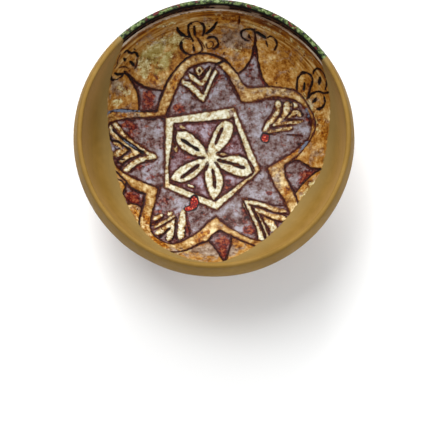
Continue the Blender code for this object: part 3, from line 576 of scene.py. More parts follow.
def outside_curves():
    """The outside, from the middle of the hollow under the foot to the crest of the lip."""
    hollow_radius = NECK_RADIUS - FOOT_WALL
    rest_outer = FOOT_RADIUS - REST_INSET
    rest_inner = rest_outer - REST_WIDTH
    bead_top = (FOOT_RADIUS - BEAD_STEP, BEAD_HEIGHT)
    # These handles make the bead's curve just reach the foot's radius
    bulge = (FOOT_RADIUS - (rest_outer + bead_top[0]) / 8) / 0.75
    top = (0, HOLLOW_HEIGHT)
    mouth = (hollow_radius, 0.28 * HOLLOW_HEIGHT)
    foot_in = (rest_inner, 0)
    foot_out = (rest_outer, 0)
    neck = (NECK_RADIUS, NECK_HEIGHT)
    root = (NECK_RADIUS + ROOT_SPREAD, FOOT_HEIGHT)
    widest = (BOWL_RADIUS, BOWL_HEIGHT - RIM_HEIGHT)
    lip = BOWL_RADIUS - LIP_INSET
    turn = (lip + LIP_ROUND, BOWL_HEIGHT - LIP_ROUND)
    crest = (lip, BOWL_HEIGHT)
    yield top, between(top, mouth, 0.6, 0), between(top, mouth, 0.96, 0.4), mouth
    yield mouth, between(mouth, foot_in, 0.04, 0.4), between(mouth, foot_in, 0.45, 0.57), foot_in
    yield foot_in, between(foot_in, foot_out, 0.3, 0), between(foot_in, foot_out, 0.7, 0), foot_out
    yield foot_out, (bulge, 0.02 * BEAD_HEIGHT), (bulge, 0.8 * BEAD_HEIGHT), bead_top
    yield bead_top, between(bead_top, neck, 0.67, 0.06), between(bead_top, neck, 0.5, 0.52), neck
    yield neck, between(neck, root, 0, 0.79), between(neck, root, 0.4, 0.82), root
    yield root, between(root, widest, 0.96, 0.165), between(root, widest, 1, 0.89), widest
    yield widest, between(widest, turn, 0, 0.4), between(widest, turn, 0.6, 0.78), turn
    yield turn, between(turn, crest, 0, 0.55), between(turn, crest, 0.45, 1), crest


def spline(points, step=STROKE_STEP):
    """A smooth path through the points, in equal steps."""
    points = np.array(points, float)
    if len(points) == 2:
        return resampled(points, step)
    before = 2 * points[0] - points[1]
    after = 2 * points[-1] - points[-2]
    padded = np.concatenate([[before], points, [after]])
    share = np.linspace(0, 1, SPAN_POINTS, endpoint=False)[:, None]
    runs = []
    for a, b, c, d in zip(padded, padded[1:], padded[2:], padded[3:]):
        bend = 2 * a - 5 * b + 4 * c - d
        twist = 3 * b - a - 3 * c + d
        runs.append(b + 0.5 * share * (c - a + share * (bend + share * twist)))
    return resampled(np.concatenate(runs + [points[-1:]]), step)


def outline(runs):
    """One closed outline of several smooth runs that follow on."""
    return np.concatenate([spline(run)[:-1] for run in runs])


def polygon(corners):
    """A closed outline with straight sides."""
    corners = np.array(corners + corners[:1], float)
    return resampled(corners, STROKE_STEP)[:-1]


def grown(loop, room):
    """A closed outline moved outwards by a distance."""
    x, y = loop.T
    run = np.roll(loop, -1, axis=0) - np.roll(loop, 1, axis=0)
    way = math.copysign(1, (x * np.roll(y, -1) - y * np.roll(x, -1)).sum())
    return loop - way * room * leftwards(run)


def circle(middle, radius):
    return np.array(middle) + radius * heading(np.linspace(0, 2 * math.pi, CIRCLE_POINTS, endpoint=False))


def wander(points, length, seed):
    """A smooth random swing from about -1 to 1 over this length, at points in space."""
    draw = np.random.default_rng(seed)
    ways = draw.normal(size=(WAVES, 3))
    ways /= np.linalg.norm(ways, axis=1)[:, None] * length * draw.uniform(0.6, 1.5, WAVES)[:, None]
    return np.sin(2 * math.pi * points @ ways.T + draw.uniform(0, 2 * math.pi, WAVES)).sum(axis=1) / 4


def raised(plan):
    """Points of a plan as points in space."""
    return np.column_stack([plan, np.zeros(len(plan))])


def sway(plan, length, *seeds):
    """A random shift on the plan for each of its points."""
    return np.column_stack([wander(raised(plan), length, seed) for seed in seeds])


def contains(loop, points):
    """Which of the points lie inside a closed outline."""
    low, high = loop.min(axis=0), loop.max(axis=0)
    near = np.flatnonzero(((points > low) & (points < high)).all(axis=1))
    x1, y1 = loop.T
    x2, y2 = np.roll(loop, -1, axis=0).T
    rise = np.where(y2 == y1, 1, y2 - y1)
    inside = np.zeros(len(points), bool)
    for part in np.array_split(near, max(1, len(near) * len(loop) // LARGEST_BATCH)):
        x, y = points[part, None, 0], points[part, None, 1]
        crossed = ((y1 > y) != (y2 > y)) & (x < x1 + (y - y1) / rise * (x2 - x1))
        inside[part] = crossed.sum(axis=1) % 2 == 1
    return inside


def nearest(samples, points):
    """The distance from each point to the nearest sample, and that sample's number."""
    if samples.shape[1] == 2:
        samples, points = raised(samples), raised(points)
    tree = KDTree(len(samples))
    for number, sample in enumerate(samples):
        tree.insert(sample, number)
    tree.balance()
    found = [tree.find(point) for point in points]
    return np.array([near[2] for near in found]), np.array([near[1] for near in found])


def depth_inside(loop, points):
    """How far inside a closed outline each point lies, below zero outside."""
    return np.where(contains(loop, points), 1, -1) * nearest(loop, points)[0]


class Strokes:
    """Lines of varying width as samples along their middles."""

    def __init__(self):
        self.paths = []
        self.half = []
        self.black = []

    def add(self, path, width, black, tapers=True):
        """A stroke with this path and greatest width, thin at its ends if it tapers."""
        along = lengths_along(path)
        half = np.full(len(path), width / 2)
        if tapers:
            ends = np.minimum(along, along[-1] - along) / min(TAPER_LENGTH, 0.3 * along[-1])
            half *= 0.5 + 0.5 * np.sqrt(np.clip(ends, 0, 1))
        number = len(self.paths)
        half *= 1 + WIDTH_SWING * wander(raised(path), 9, number)
        self.paths.append(path + STROKE_SWAY * sway(path, 14, 900 + number, 300 + number))
        self.half.append(half)
        self.black.append(np.full(len(path), black))

    def gather(self):
        """Closer samples of every stroke, with their half width and blackness."""
        fine = []
        for path, half, black in zip(self.paths, self.half, self.black):
            marks = np.linspace(0, len(path) - 1, 3 * len(path))
            columns = [*path.T, half, black]
            fine.append(np.stack([np.interp(marks, range(len(path)), column) for column in columns], axis=1))
        return np.concatenate(fine)

    def inside(self, points):
        """How far inside the nearest stroke each point lies, and that stroke's width and tone."""
        samples = self.gather()
        near, number = nearest(samples[:, :2], points)
        half = samples[number, 2]
        return half - near, half, samples[number, 3]

    def mesh_points(self):
        """Points for a mesh that follows the strokes: along their middles and edges."""
        for path, half in zip(self.paths, self.half):
            side = leftwards(np.gradient(path, axis=0))
            for share, room in ((0, 0), (0.55, 0), (-0.55, 0), (1, 0.05), (-1, 0.05), (1, 0.5), (-1, 0.5)):
                yield path + side * (share * half + math.copysign(room, share) * (room > 0))[:, None]


def drawing():
    """The drawing of the inside: its strokes, its slip strips and its closed outlines."""
    lines = Strokes()
    body = outline(STAR_BODY)
    band = outline(STAR_BAND)
    spikes = [outline(runs) for runs in SPIKES]
    frame_out = polygon(PENTAGON)
    frame_in = grown(polygon(PENTAGON_INSIDE), -PENTAGON_ROOM)
    petals = [grown(outline(runs), PETAL_ROOM) for runs in PETALS]
    for runs, kinds in ((STAR_BODY, BODY_LINES), (STAR_BAND, BAND_LINES)):
        for run, (width, black) in zip(runs, kinds):
            lines.add(spline(run), OUTLINE_SHARE * width, black, tapers=False)
    for runs in SPIKES:
        for run in runs[:2]:
            lines.add(spline(run), *SPIKE_LINE, tapers=False)
    for loop, kind in ((frame_out, PENTAGON_LINE), (frame_in, PENTAGON_INSIDE_LINE)):
        lines.add(np.concatenate([loop, loop[:1]]), *kind, tapers=False)
    for petal, runs in zip(petals, PETALS):
        tip = len(spline(runs[0])) - 1
        lines.add(petal[: tip + 1], *PETAL_LINE)
        lines.add(petal[tip:], *PETAL_LINE)
    for width, black, points in LINES:
        lines.add(spline(points), LINE_SHARE * width, black)
    pale, washes = Strokes(), Strokes()
    for strokes, table, wider in ((pale, PALE_STROKES, PALE_SHARE), (washes, WASHES, 1)):
        for width, points in table:
            strokes.add(spline(points), wider * width, 0)
    return lines, pale, washes, body, band, spikes, frame_out, frame_in, petals


def patches(table, plan):
    """The strength at each point of a table's soft patches, their edges made uneven."""
    shift = sway(plan, 11, 51, 52) + 0.6 * sway(plan, 5, 53, 54)
    total = np.zeros(len(plan))
    for across, up, half_long, half_wide, turn, strength in table:
        away = plan + 0.16 * min(half_long, half_wide, 7) * shift - (across, up)
        angle = math.radians(turn)
        long = away @ (math.cos(angle), math.sin(angle)) / half_long
        wide = away @ (-math.sin(angle), math.cos(angle)) / half_wide
        total = np.maximum(total, strength * np.exp(-0.7 * (long**2 + wide**2) ** 1.5))
    return total


def arc(radius, first, last, step):
    """A round path about the plan's middle, between two bearings in radians."""
    count = max(1, math.ceil(radius * abs(last - first) / step))
    return radius * heading(np.linspace(first, last, count + 1))


def break_line(shift):
    """The break on the inside's plan, moved to its left by a distance, both ends on the crest."""
    path = spline(BREAK, BREAK_STEP)
    line = path + shift * leftwards(np.gradient(path, axis=0))
    for end in (0, -1):
        line[end] *= PLAN_RADIUS / np.hypot(*line[end])
    return line


def lip_line(first, last):
    """Points of the crest from one bearing counter-clockwise to another, ends left out."""
    start, end = (math.atan2(point[1], point[0]) for point in (first, last))
    end += 2 * math.pi * (end < start)
    return arc(PLAN_RADIUS, start, end, LIP_STEP)[1:-1]


def through_wall(inside, outside, loop, unit):
    """The loop's points carried out through the wall, along lines from the middle of the rim."""
    radius, height = inside.section(np.hypot(*loop.T) * unit)
    fall = (BOWL_HEIGHT - height) / radius
    wall = outside.profile[:, 0] > NECK_RADIUS + ROOT_SPREAD
    wall &= outside.profile[:, 1] > FOOT_HEIGHT
    falls = (BOWL_HEIGHT - outside.profile[wall, 1]) / outside.profile[wall, 0]
    distance = np.interp(fall, falls[::-1], outside.along[wall][::-1])
    return loop / np.hypot(*loop.T)[:, None] * distance[:, None] / unit


def thinned(points, gap):
    """The points without those nearer than a gap to one before them."""
    cells = {}
    kept = []
    for index, (x, y) in enumerate(points.tolist()):
        column, row = int(x // gap), int(y // gap)
        close = False
        for i in (column - 1, column, column + 1):
            for j in (row - 1, row, row + 1):
                for u, v in cells.get((i, j), ()):
                    if (u - x) ** 2 + (v - y) ** 2 < gap * gap:
                        close = True
        if not close:
            cells.setdefault((column, row), []).append((x, y))
            kept.append(index)
    return points[kept]


def surface(side, unit, loop, spacing, extra):
    """Plan points and triangles of one surface within a loop of its plan, the loop's first."""
    pitch = spacing * unit
    ringed = [np.zeros((1, 2))]
    for number, distance in enumerate(side.rings(pitch)):
        radius = max(side.section(distance)[0], LEAST_SHARE * pitch)
        count = max(6, round(2 * math.pi * radius / pitch))
        bearing = (np.arange(count) + 0.5 * (number % 2)) * 2 * math.pi / count
        ringed.append(distance / unit * heading(bearing))
    ringed = np.concatenate(ringed)
    ringed = ringed[contains(loop, ringed)]
    held = loop
    if len(extra):
        extra = extra[contains(loop, extra)]
        extra = thinned(extra[nearest(loop, extra)[0] > STROKE_GAP], STROKE_GAP)
        held = np.concatenate([loop, extra])
    room = nearest(side.place(held, 0, unit), side.place(ringed, 0, unit))[0]
    held = np.concatenate([held, ringed[room > ROOM_SHARE * pitch]])
    spots = side.mapped(held, unit)
    rim = len(loop)
    edges = [(number, (number + 1) % rim) for number in range(rim)]
    found = delaunay_2d_cdt([Vector(spot) for spot in spots], edges, [], 0, 1e-7, True)
    origin = np.array([known[0] for known in found[3]])
    faces = origin[np.array([tuple(face) for face in found[2]])]
    return held, faces[contains(spots[:rim], spots[faces].mean(axis=1))]


def added(name, data):
    """A new object of the scene that shows this data."""
    piece = bpy.data.objects.new(name, data)
    bpy.context.scene.collection.objects.link(piece)
    return piece


def shell(name, sides, shift, dress_inside, dress_outside, extras):
    """One piece of the wall: its inside and outside surfaces joined along the break and crest.

    The surfaces' notes become values that the mesh's points carry, zero where one has none.
    """
    inside, outside = sides
    unit = inside.reach / PLAN_RADIUS
    line = break_line(shift)
    if shift < 0:
        line = line[::-1]
    loop = np.concatenate([line, lip_line(line[-1], line[0])])
    carried = through_wall(inside, outside, loop, unit)
    plans = []
    for side, ring, spacing, extra in zip(sides, (loop, carried), (INNER_SPACING, OUTER_SPACING), extras):
        plans.append(surface(side, unit, ring, spacing, extra))
    (inner, inner_faces), (outer, outer_faces) = plans
    edge = [nearest(ring[: len(line)], plan)[0] for ring, plan in ((loop, inner), (carried, outer))]
    inner_sunk, inner_notes = dress_inside(inner, edge[0], inside, unit)
    outer_sunk, outer_notes = dress_outside(outer, edge[1], outside, unit)
    inner_sunk[: len(loop)] = 0
    outer_sunk[: len(loop)] = 0
    # The two surfaces share the crest, which is the loop from the break's last point on
    crest = [0, *range(len(line) - 1, len(loop))]
    number = len(inner) + np.arange(len(outer))
    number[crest] = crest
    strip = np.arange(len(line) - 1)
    lower = np.stack([strip + 1, strip, number[strip]], axis=1)
    upper = np.stack([strip + 1, number[strip], number[strip + 1]], axis=1)
    faces = np.concatenate([inner_faces, number[outer_faces[:, ::-1]], lower[1:], upper[:-1]])
    used, faces = np.unique(faces, return_inverse=True)
    points = np.concatenate([inside.place(inner, inner_sunk, unit), outside.place(outer, outer_sunk, unit)])
    mesh = bpy.data.meshes.new(name)
    mesh.from_pydata(points[used].tolist(), [], faces.reshape(-1, 3).tolist())
    for note in inner_notes | outer_notes:
        halves = [inner_notes.get(note, np.zeros(len(inner))), outer_notes.get(note, np.zeros(len(outer)))]
        values = np.concatenate(halves)[used].astype(np.float32)
        mesh.attributes.new(note, "FLOAT", "POINT").data.foreach_set("value", values)
    mesh.shade_smooth()
    mesh.set_sharp_from_angle(angle=math.radians(60))
    return added(name, mesh)


def glazed_inside(plan, edge, side, unit):
    """Depth of the carving at each point of the inside, and the notes for its colours."""
    lines, pale, washes, body, band, spikes, frame_out, frame_in, petals = DRAWING
    space = raised(plan)
    drawn = plan + EDGE_SWAY * sway(plan, 3.5, 11, 12)
    line, half, black = lines.inside(drawn)
    core = depth_inside(circle(*ROSETTE_MIDDLE), drawn)
    line = np.minimum(line, 0.5 - core)
    slip = np.maximum(pale.inside(drawn)[0], core)
    for petal in petals:
        slip = np.maximum(slip, depth_inside(petal, drawn))
    in_body = depth_inside(body, drawn)
    in_frame = depth_inside(frame_out, drawn)
    in_rosette = depth_inside(frame_in, drawn)
    in_band = depth_inside(band, drawn)
    violet = np.maximum(np.minimum(in_body, -in_frame), in_rosette)
    for spike in spikes:
        violet = np.maximum(violet, depth_inside(spike, drawn))
    violet = np.minimum(violet, -slip)
    slip = np.maximum(slip, np.minimum(in_frame, -in_rosette))
    lobe = np.minimum(in_band, -in_body)
    reach = np.hypot(*plan.T)
    for drop, width, ring_black in INSIDE_RINGS:
        away = np.abs(reach - (side.reach - drop) / unit + 0.12 * wander(space, 30, 7))
        ring = width / 2 - away
        half = np.where(ring > line, width / 2, half)
        black = np.where(ring > line, ring_black, black)
        line = np.maximum(line, ring)
    chip = patches(CHIPS, plan)
    groove = GROOVE_DEPTH * np.clip(half / 0.9, 0.6, 1.3) * np.clip(1 - ((half - line) / half) ** 2, 0, 1)
    scraped = 1 + 0.22 * wander(space, 4, 21) + 0.18 * wander(space, 1.9, 22)
    sunk = np.maximum(groove, FIELD_DEPTH * smoothstep(violet, -0.25, 0.9) * scraped)
    sunk = np.maximum(sunk, CHIP_DEPTH * smoothstep(chip, 0.3, 0.6))
    sunk -= BURR_HEIGHT * np.exp(-((line + 0.35) / 0.4) ** 2)
    bands = 2 * math.pi * reach / INSIDE_PITCH
    sunk += INSIDE_DENTS * (1 + wander(space, 34, 23)) + INSIDE_TURNING * np.sin(bands)
    sunk *= smoothstep(PLAN_RADIUS - reach, 0, 3)
    notes = {
        "line": line, "black": black, "violet": violet, "slip": slip, "lobe": lobe, "edge": edge,
        "drop": PLAN_RADIUS - reach, "chip": chip, "wash": washes.inside(drawn)[0],
        "rosette": smoothstep(in_rosette, -1, 2),
    }
    return sunk, notes | {name: patches(table, plan) for name, table in TONES.items()}


def glazed_outside(plan, edge, side, unit):
    """Depth of the lines at each point of the outside, and the notes for its colours."""
    line, half, black = OUTSIDE_DRAWING.inside(plan)
    reach = np.hypot(*plan.T)
    drop = side.reach / unit - reach
    space = side.place(plan, 0, unit)
    sunk = RING_DEPTH * np.clip(1 - ((half - line) / half) ** 2, 0, 1)
    bands = 2 * math.pi * reach / OUTSIDE_PITCH + 2 * wander(space, 0.05, 31)
    sunk += OUTSIDE_TURNING * (1 + np.sin(bands))
    sunk += OUTSIDE_DENTS * (1 + np.clip(wander(space, 0.03, 32), -1, 1))
    sunk *= smoothstep(drop, 0, 4) * smoothstep(space[:, 2], 0, 0.002)
    notes = dict.fromkeys(("violet", "slip", "lobe", "wash"), np.full(len(plan), FAR_AWAY))
    notes |= {"line": line, "black": black, "edge": edge, "drop": drop, "outer": np.ones(len(plan))}
    return sunk, notes


def plaster_side(seed, outer):
    """What dresses one side of the infill: a hand-smoothed face with faint turned bands."""

    def dress(plan, edge, side, unit):
        reach = np.hypot(*plan.T)
        drop = side.reach / unit - reach
        space = side.place(plan, 0, unit)
        sunk = PLASTER_DENTS * (1 + np.clip(wander(space, 0.035, seed), -1, 1))
        bands = 2 * math.pi * reach / PLASTER_PITCH + 2.5 * wander(space, 0.06, seed + 1)
        sunk += PLASTER_TURNING * (1 + np.sin(bands))
        sunk *= smoothstep(drop, 0, 4) * smoothstep(edge, 0, 3)
        return sunk, {"edge": edge, "drop": drop, "outer": np.full(len(plan), outer)}

    return dress


def outside_strokes(outside, unit):
    """The four lines and the wave cut into the outside of the original rim."""
    above = outside.profile[:, 1] > FOOT_HEIGHT
    first, last = (math.atan2(BREAK[end][1], BREAK[end][0]) for end in (-1, 0))
    lines = Strokes()

    def ring_radius(drop):
        return np.interp(BOWL_HEIGHT - drop, outside.profile[above, 1], outside.along[above]) / unit

    for drop in OUTSIDE_RINGS:
        lines.add(arc(ring_radius(drop), first, last, STROKE_STEP), *OUTSIDE_LINE, tapers=False)
    radius = ring_radius(WAVE_DROP)
    path = arc(radius, first, last, STROKE_STEP)
    bearing = np.arctan2(path[:, 1], path[:, 0])
    path = path * (1 + WAVE_RISE / unit / radius * np.sin(WAVE_COUNT * bearing))[:, None]
    lines.add(path, *OUTSIDE_LINE, tapers=False)
    return lines


def linear(red, green, blue):
    """A colour as it looks on a screen, from 0 to 255, less the light that the gloss adds."""
    channels = [(channel / 255 + 0.055) / 1.055 for channel in (red, green, blue)]
    return (*[max(channel**2.4 - GLOSS, 0.001) for channel in channels], 1)


class Finish:
    """A material and short ways to join its nodes."""

    def __init__(self, name):
        self.material = bpy.data.materials.new(name)
        self.material.use_nodes = True
        self.tree = self.material.node_tree
        self.shader = self.tree.nodes["Principled BSDF"]
        self.place = self.node("ShaderNodeTexCoord").outputs["Object"]

    def node(self, kind, inputs=(), **settings):
        made = self.tree.nodes.new(kind)
        for key, value in settings.items():
            setattr(made, key, value)
        for key, value in dict(inputs).items():
            self.feed(made.inputs[key], value)
        return made

    def feed(self, socket, value):
        if isinstance(value, bpy.types.NodeSocket):
            self.tree.links.new(value, socket)
        else:
            socket.default_value = value

    def note(self, name):
        """A number that the mesh's points carry."""
        return self.node("ShaderNodeAttribute", attribute_name=name).outputs["Fac"]

    def noise(self, size, detail=3.0, rough=0.55, swirl=0.0):
        """Soft random values from 0 to 1 with features of a size in metres."""
        inputs = {"Vector": self.place, "Scale": 1 / size}
        inputs |= {"Detail": detail, "Roughness": rough, "Distortion": swirl}
        return self.node("ShaderNodeTexNoise", inputs).outputs[0]

    def streaks(self, length, pitch):
        """Noise drawn out along the turning: its length in metres, and its pitch in plan units."""
        across = self.times(self.note("drop"), length / pitch)
        inputs = {"Vector": self.place, "W": across, "Scale": 1 / length, "Detail": 4.0, "Roughness": 0.6}
        return self.node("ShaderNodeTexNoise", inputs, noise_dimensions="4D").outputs[0]

    def sums(self, operation, first, second=0.0, third=0.0):
        return self.node("ShaderNodeMath", {0: first, 1: second, 2: third}, operation=operation).outputs[0]

    def plus(self, first, second):
        return self.sums("ADD", first, second)

    def minus(self, first, second):
        return self.sums("SUBTRACT", first, second)

    def times(self, first, second):
        return self.sums("MULTIPLY", first, second)

    def spread(self, value, share):
        """The value's swings from a half made larger."""
        return self.sums("MULTIPLY_ADD", value, share, 0.5 - 0.5 * share)

    def frayed(self, value, grain, reach):
        """The value moved up and down by the swings of a noise from a half."""
        return self.plus(value, self.times(self.minus(grain, 0.5), reach))

    def step(self, value, low, high, start=0.0, end=1.0):
        """A smooth step from one value to another as the input goes from low to high."""
        inputs = {"Value": value, "From Min": low, "From Max": high, "To Min": start, "To Max": end}
        return self.node("ShaderNodeMapRange", inputs, interpolation_type="SMOOTHSTEP").outputs[0]

    def side(self, inside, outside):
        """One value on the bowl's inside and another on its outside."""
        return self.step(self.note("outer"), 0.4, 0.6, inside, outside)

    def hollowed(self, value, note, width, low, high):
        """The value lowered along the edges of what a note measures."""
        return self.plus(value, self.step(self.note(note), 0.0, width, low, high))

    def mix(self, share, first, second):
        inputs = {0: share, 6: first, 7: second}
        return self.node("ShaderNodeMix", inputs, data_type="RGBA", blend_type="MIX").outputs[2]

    def ramp(self, value, stops):
        """A colour that runs through these stops, each a position and a colour."""
        made = self.node("ShaderNodeValToRGB", {0: value})
        points = made.color_ramp.elements
        while len(points) < len(stops):
            points.new(1.0)
        for point, (position, colour) in zip(points, stops):
            point.position = position
            point.color = linear(*colour)
        return made.outputs[0]

    def blotch(self, share, size):
        """A share with a broken edge: where noise and the share together pass the middle."""
        grain = self.spread(self.noise(size, detail=5.0, rough=0.7), 2.0)
        return self.step(self.plus(share, self.minus(grain, 0.5)), 0.3, 0.75)

    def covered(self, colour, value, low, high, over, most=1.0):
        """The colour with another over it, more of it as the value goes from low to high."""
        return self.mix(self.step(value, low, high, 0.0, most), colour, over)

    def patched(self, colour, share, strength, size, stops, value):
        """The colour with a ramp's colours over it in broken patches."""
        return self.mix(self.blotch(self.times(share, strength), size), colour, self.ramp(value, stops))


# Colours as they look, at stops of a noise from dark to light
CREAM = ((0.16, (80, 42, 16)), (0.28, (138, 102, 54)), (0.42, (174, 158, 118)), (0.56, (190, 184, 155)),
         (0.76, (220, 220, 202)))
AGED = ((0.22, (60, 29, 9)), (0.36, (112, 70, 28)), (0.48, (146, 106, 55)), (0.60, (178, 146, 94)),
        (0.76, (218, 200, 156)))
GROUND = ((0.22, (64, 28, 8)), (0.36, (122, 74, 24)), (0.48, (156, 108, 48)), (0.60, (178, 138, 80)),
          (0.76, (212, 188, 134)))
VIOLET = ((0.24, (40, 8, 6)), (0.36, (76, 40, 34)), (0.47, (109, 90, 87)), (0.58, (128, 117, 118)),
          (0.72, (154, 150, 159)))
MAUVE = ((0.24, (42, 6, 6)), (0.36, (78, 34, 34)), (0.47, (110, 81, 83)), (0.58, (130, 111, 116)),
         (0.72, (158, 148, 160)))
RUSTED = ((0.28, (44, 8, 3)), (0.44, (82, 26, 10)), (0.56, (110, 42, 20)), (0.72, (138, 80, 54)))
WASHED = ((0.26, (132, 106, 56)), (0.42, (166, 146, 92)), (0.58, (188, 176, 124)), (0.76, (216, 212, 172)))
POOLED = ((0.28, (84, 42, 6)), (0.44, (130, 76, 14)), (0.58, (158, 100, 30)), (0.74, (186, 142, 70)))
HAZE_AND_GLARE_RAMP = ((0.26, (80, 54, 38)), (0.42, (116, 92, 74)), (0.58, (144, 124, 106)), (0.76, (178, 162, 146)))
BLOOM = ((0.30, (130, 102, 80)), (0.44, (172, 150, 128)), (0.60, (202, 186, 166)), (0.76, (226, 216, 200)))
GREENED = ((0.26, (98, 74, 26)), (0.42, (138, 118, 60)), (0.58, (164, 150, 92)), (0.76, (204, 196, 150)))
INKED = ((0.35, (8, 5, 9)), (0.58, (20, 12, 14)), (0.76, (58, 32, 22)))
REDDENED = ((0.35, (42, 12, 5)), (0.58, (72, 32, 13)), (0.76, (118, 72, 36)))
CHIPPED = ((0.36, (90, 10, 4)), (0.50, (150, 32, 12)), (0.62, (200, 74, 38)), (0.76, (238, 156, 118)))
MAROON = ((0.28, (14, 2, 2)), (0.44, (32, 8, 5)), (0.58, (54, 24, 12)), (0.76, (100, 70, 46)))
GREEN = ((0.28, (16, 20, 6)), (0.42, (42, 52, 24)), (0.54, (76, 92, 46)), (0.70, (124, 138, 96)))
COAT = ((0.12, (104, 66, 24)), (0.38, (146, 106, 50)), (0.62, (172, 136, 78)), (0.88, (200, 174, 118)))
CLAY = ((0.10, (112, 66, 42)), (0.38, (142, 92, 62)), (0.62, (162, 110, 78)), (0.90, (186, 140, 106)))
PLASTER = ((0.28, (119, 91, 42)), (0.44, (130, 101, 49)), (0.58, (139, 109, 56)), (0.74, (152, 123, 70)))

# Single colours of the pottery
GROUND_FLECK = linear(66, 26, 8)
VIOLET_FLECK = linear(44, 10, 8)
LINE_SHADE = linear(74, 30, 10)
BLUE_GLINT = linear(106, 114, 130)
CHIP_EDGE = linear(36, 8, 4)
LIP_SHADE = linear(26, 18, 7)
LIP_FLECK = linear(84, 18, 20)
OUTSIDE_LINES = linear(78, 46, 20)
SMEARED_EDGE = linear(132, 106, 62)
# Single colours of the infill
DARK_SPECK = linear(104, 78, 36)
# The painted light on the inside of the infill
LIT_WALL = linear(168, 134, 84)
DARK_LIP_TONE = linear(112, 86, 44)
PALE_BREAK_EDGE = linear(134, 116, 76)

# Where bands of colour start and end, as distances below the crest on the plan
WHEEL_STREAKS = (52.0, 30.0)
POOLED_GROUND = (36.0, 26.0)
MATTE_RIM = (24.0, 15.0)
PALE_RING_FOOT = (21.6, 20.8)
PALE_RING_TOP = (16.4, 17.2)
MAROON_RIM = (17.4, 16.4)
# Painted shade: a dark band just under the crest on the inside
LIP_SHADE_BAND = (4.2, 2.8)
GREEN_INSIDE = 1.2
GREEN_OUTSIDE = 14.0
# Heights between which the outside's glaze ends, in metres
GLAZE_END = (0.0445, 0.0465)


class Pottery(Finish):
    """The bowl's finish, with the noises that its colours share."""

    def __init__(self):
        super().__init__("carved_glaze")
        self.shader.inputs["Specular IOR Level"].default_value = 0.16
        self.fine = self.spread(self.noise(0.0013, 4, 0.6), 1.7)
        self.small = self.spread(self.noise(0.0026, 5, 0.72), 2.1)
        self.other = self.spread(self.noise(0.0044, 5, 0.72, 0.6), 1.5)
        self.middle = self.spread(self.noise(0.0095, 5, 0.62), 2.2)
        self.mixed = self.plus(self.times(self.small, 0.45), self.times(self.middle, 0.55))
        self.streak = self.spread(self.streaks(0.03, 2.6), 1.9)
        self.inner = self.side(1.0, 0.0)

    def laid(self, colour, note, over, soft=0.2):
        """The colour with another over what a note measures, with a slightly broken edge."""
        return self.covered(colour, self.frayed(self.note(note), self.fine, 1.2), -soft, soft, over)


def slip_colours(f):
    """The pale slip of the rosette and strips, and the aged slip of the lobes' band."""
    cream = f.ramp(f.hollowed(f.small, "slip", 1.5, -0.16, 0.07), CREAM)
    cream = f.patched(cream, f.note("worn"), 0.8, 0.004, AGED, f.hollowed(f.small, "slip", 1.4, -0.08, 0.1))
    aged = f.ramp(f.hollowed(f.mixed, "lobe", 2.4, -0.12, 0.05), AGED)
    aged = f.patched(aged, f.note("haze_and_glare"), 0.75, 0.004, HAZE_AND_GLARE_RAMP, f.small)
    aged = f.patched(aged, f.note("amber"), 0.75, 0.004, POOLED, f.small)
    return cream, aged


def ground_colour(f):
    """The amber ground round the star, streaked by the wheel towards the rim."""
    turned = f.step(f.note("drop"), *WHEEL_STREAKS, 0.1, 0.75)
    swirl = f.plus(f.times(f.minus(f.streak, f.mixed), turned), f.mixed)
    wash = f.step(f.frayed(f.note("wash"), f.small, 7.0), -1.2, 1.6)
    ground = f.mix(f.times(wash, 0.85), f.ramp(swirl, GROUND), f.ramp(f.small, WASHED))
    clouds = f.spread(f.noise(0.014, 5, 0.7, 0.8), 2.2)
    ground = f.covered(ground, clouds, 0.56, 0.8, f.ramp(f.small, HAZE_AND_GLARE_RAMP), 0.7)
    ground = f.patched(ground, f.note("haze_and_glare"), 0.8, 0.008, HAZE_AND_GLARE_RAMP, f.mixed)
    ground = f.patched(ground, f.note("olive"), 0.62, 0.009, GREENED, f.mixed)
    ground = f.patched(ground, f.note("amber"), 0.7, 0.006, POOLED, f.small)
    ground = f.patched(ground, f.step(f.note("drop"), *POOLED_GROUND), 0.6, 0.008, POOLED, f.streak)
    return f.covered(ground, f.noise(0.0023, 3, 0.5), 0.64, 0.72, GROUND_FLECK)


def violet_colour(f):
    """The violet grounds, with rust where it breaks through."""
    value = f.hollowed(f.mixed, "violet", 2.6, -0.20, 0.03)
    violet = f.mix(f.note("rosette"), f.ramp(value, VIOLET), f.ramp(value, MAUVE))
    violet = f.covered(violet, f.other, 0.60, 0.72, f.ramp(f.small, RUSTED), 0.9)
    value = f.hollowed(f.small, "violet", 2.6, -0.16, 0.03)
    violet = f.patched(violet, f.note("rust"), 0.9, 0.004, RUSTED, value)
    return f.covered(violet, f.noise(0.0019, 3, 0.5), 0.66, 0.73, VIOLET_FLECK)


def drawn_colour(f):
    """The inside's drawing: its layers by their distances, then lines, glints and chips."""
    cream, aged = slip_colours(f)
    colour = f.laid(ground_colour(f), "lobe", aged)
    colour = f.laid(colour, "violet", violet_colour(f))
    colour = f.laid(colour, "slip", cream)
    colour = f.patched(colour, f.note("stain"), 1.0, 0.003, HAZE_AND_GLARE_RAMP, f.small)
    colour = f.covered(colour, f.note("line"), -0.9, 0.0, LINE_SHADE, 0.45)
    ink = f.mix(f.note("black"), f.ramp(f.fine, REDDENED), f.ramp(f.fine, INKED))
    colour = f.laid(colour, "line", ink, 0.25)
    # Painted reflections: the bluish glints
    colour = f.mix(f.blotch(f.times(f.note("glint"), 0.8), 0.002), colour, BLUE_GLINT)
    colour = f.covered(colour, f.note("chip"), 0.18, 0.36, CHIP_EDGE)
    return f.covered(colour, f.note("chip"), 0.52, 0.7, f.ramp(f.plus(f.fine, -0.06), CHIPPED))


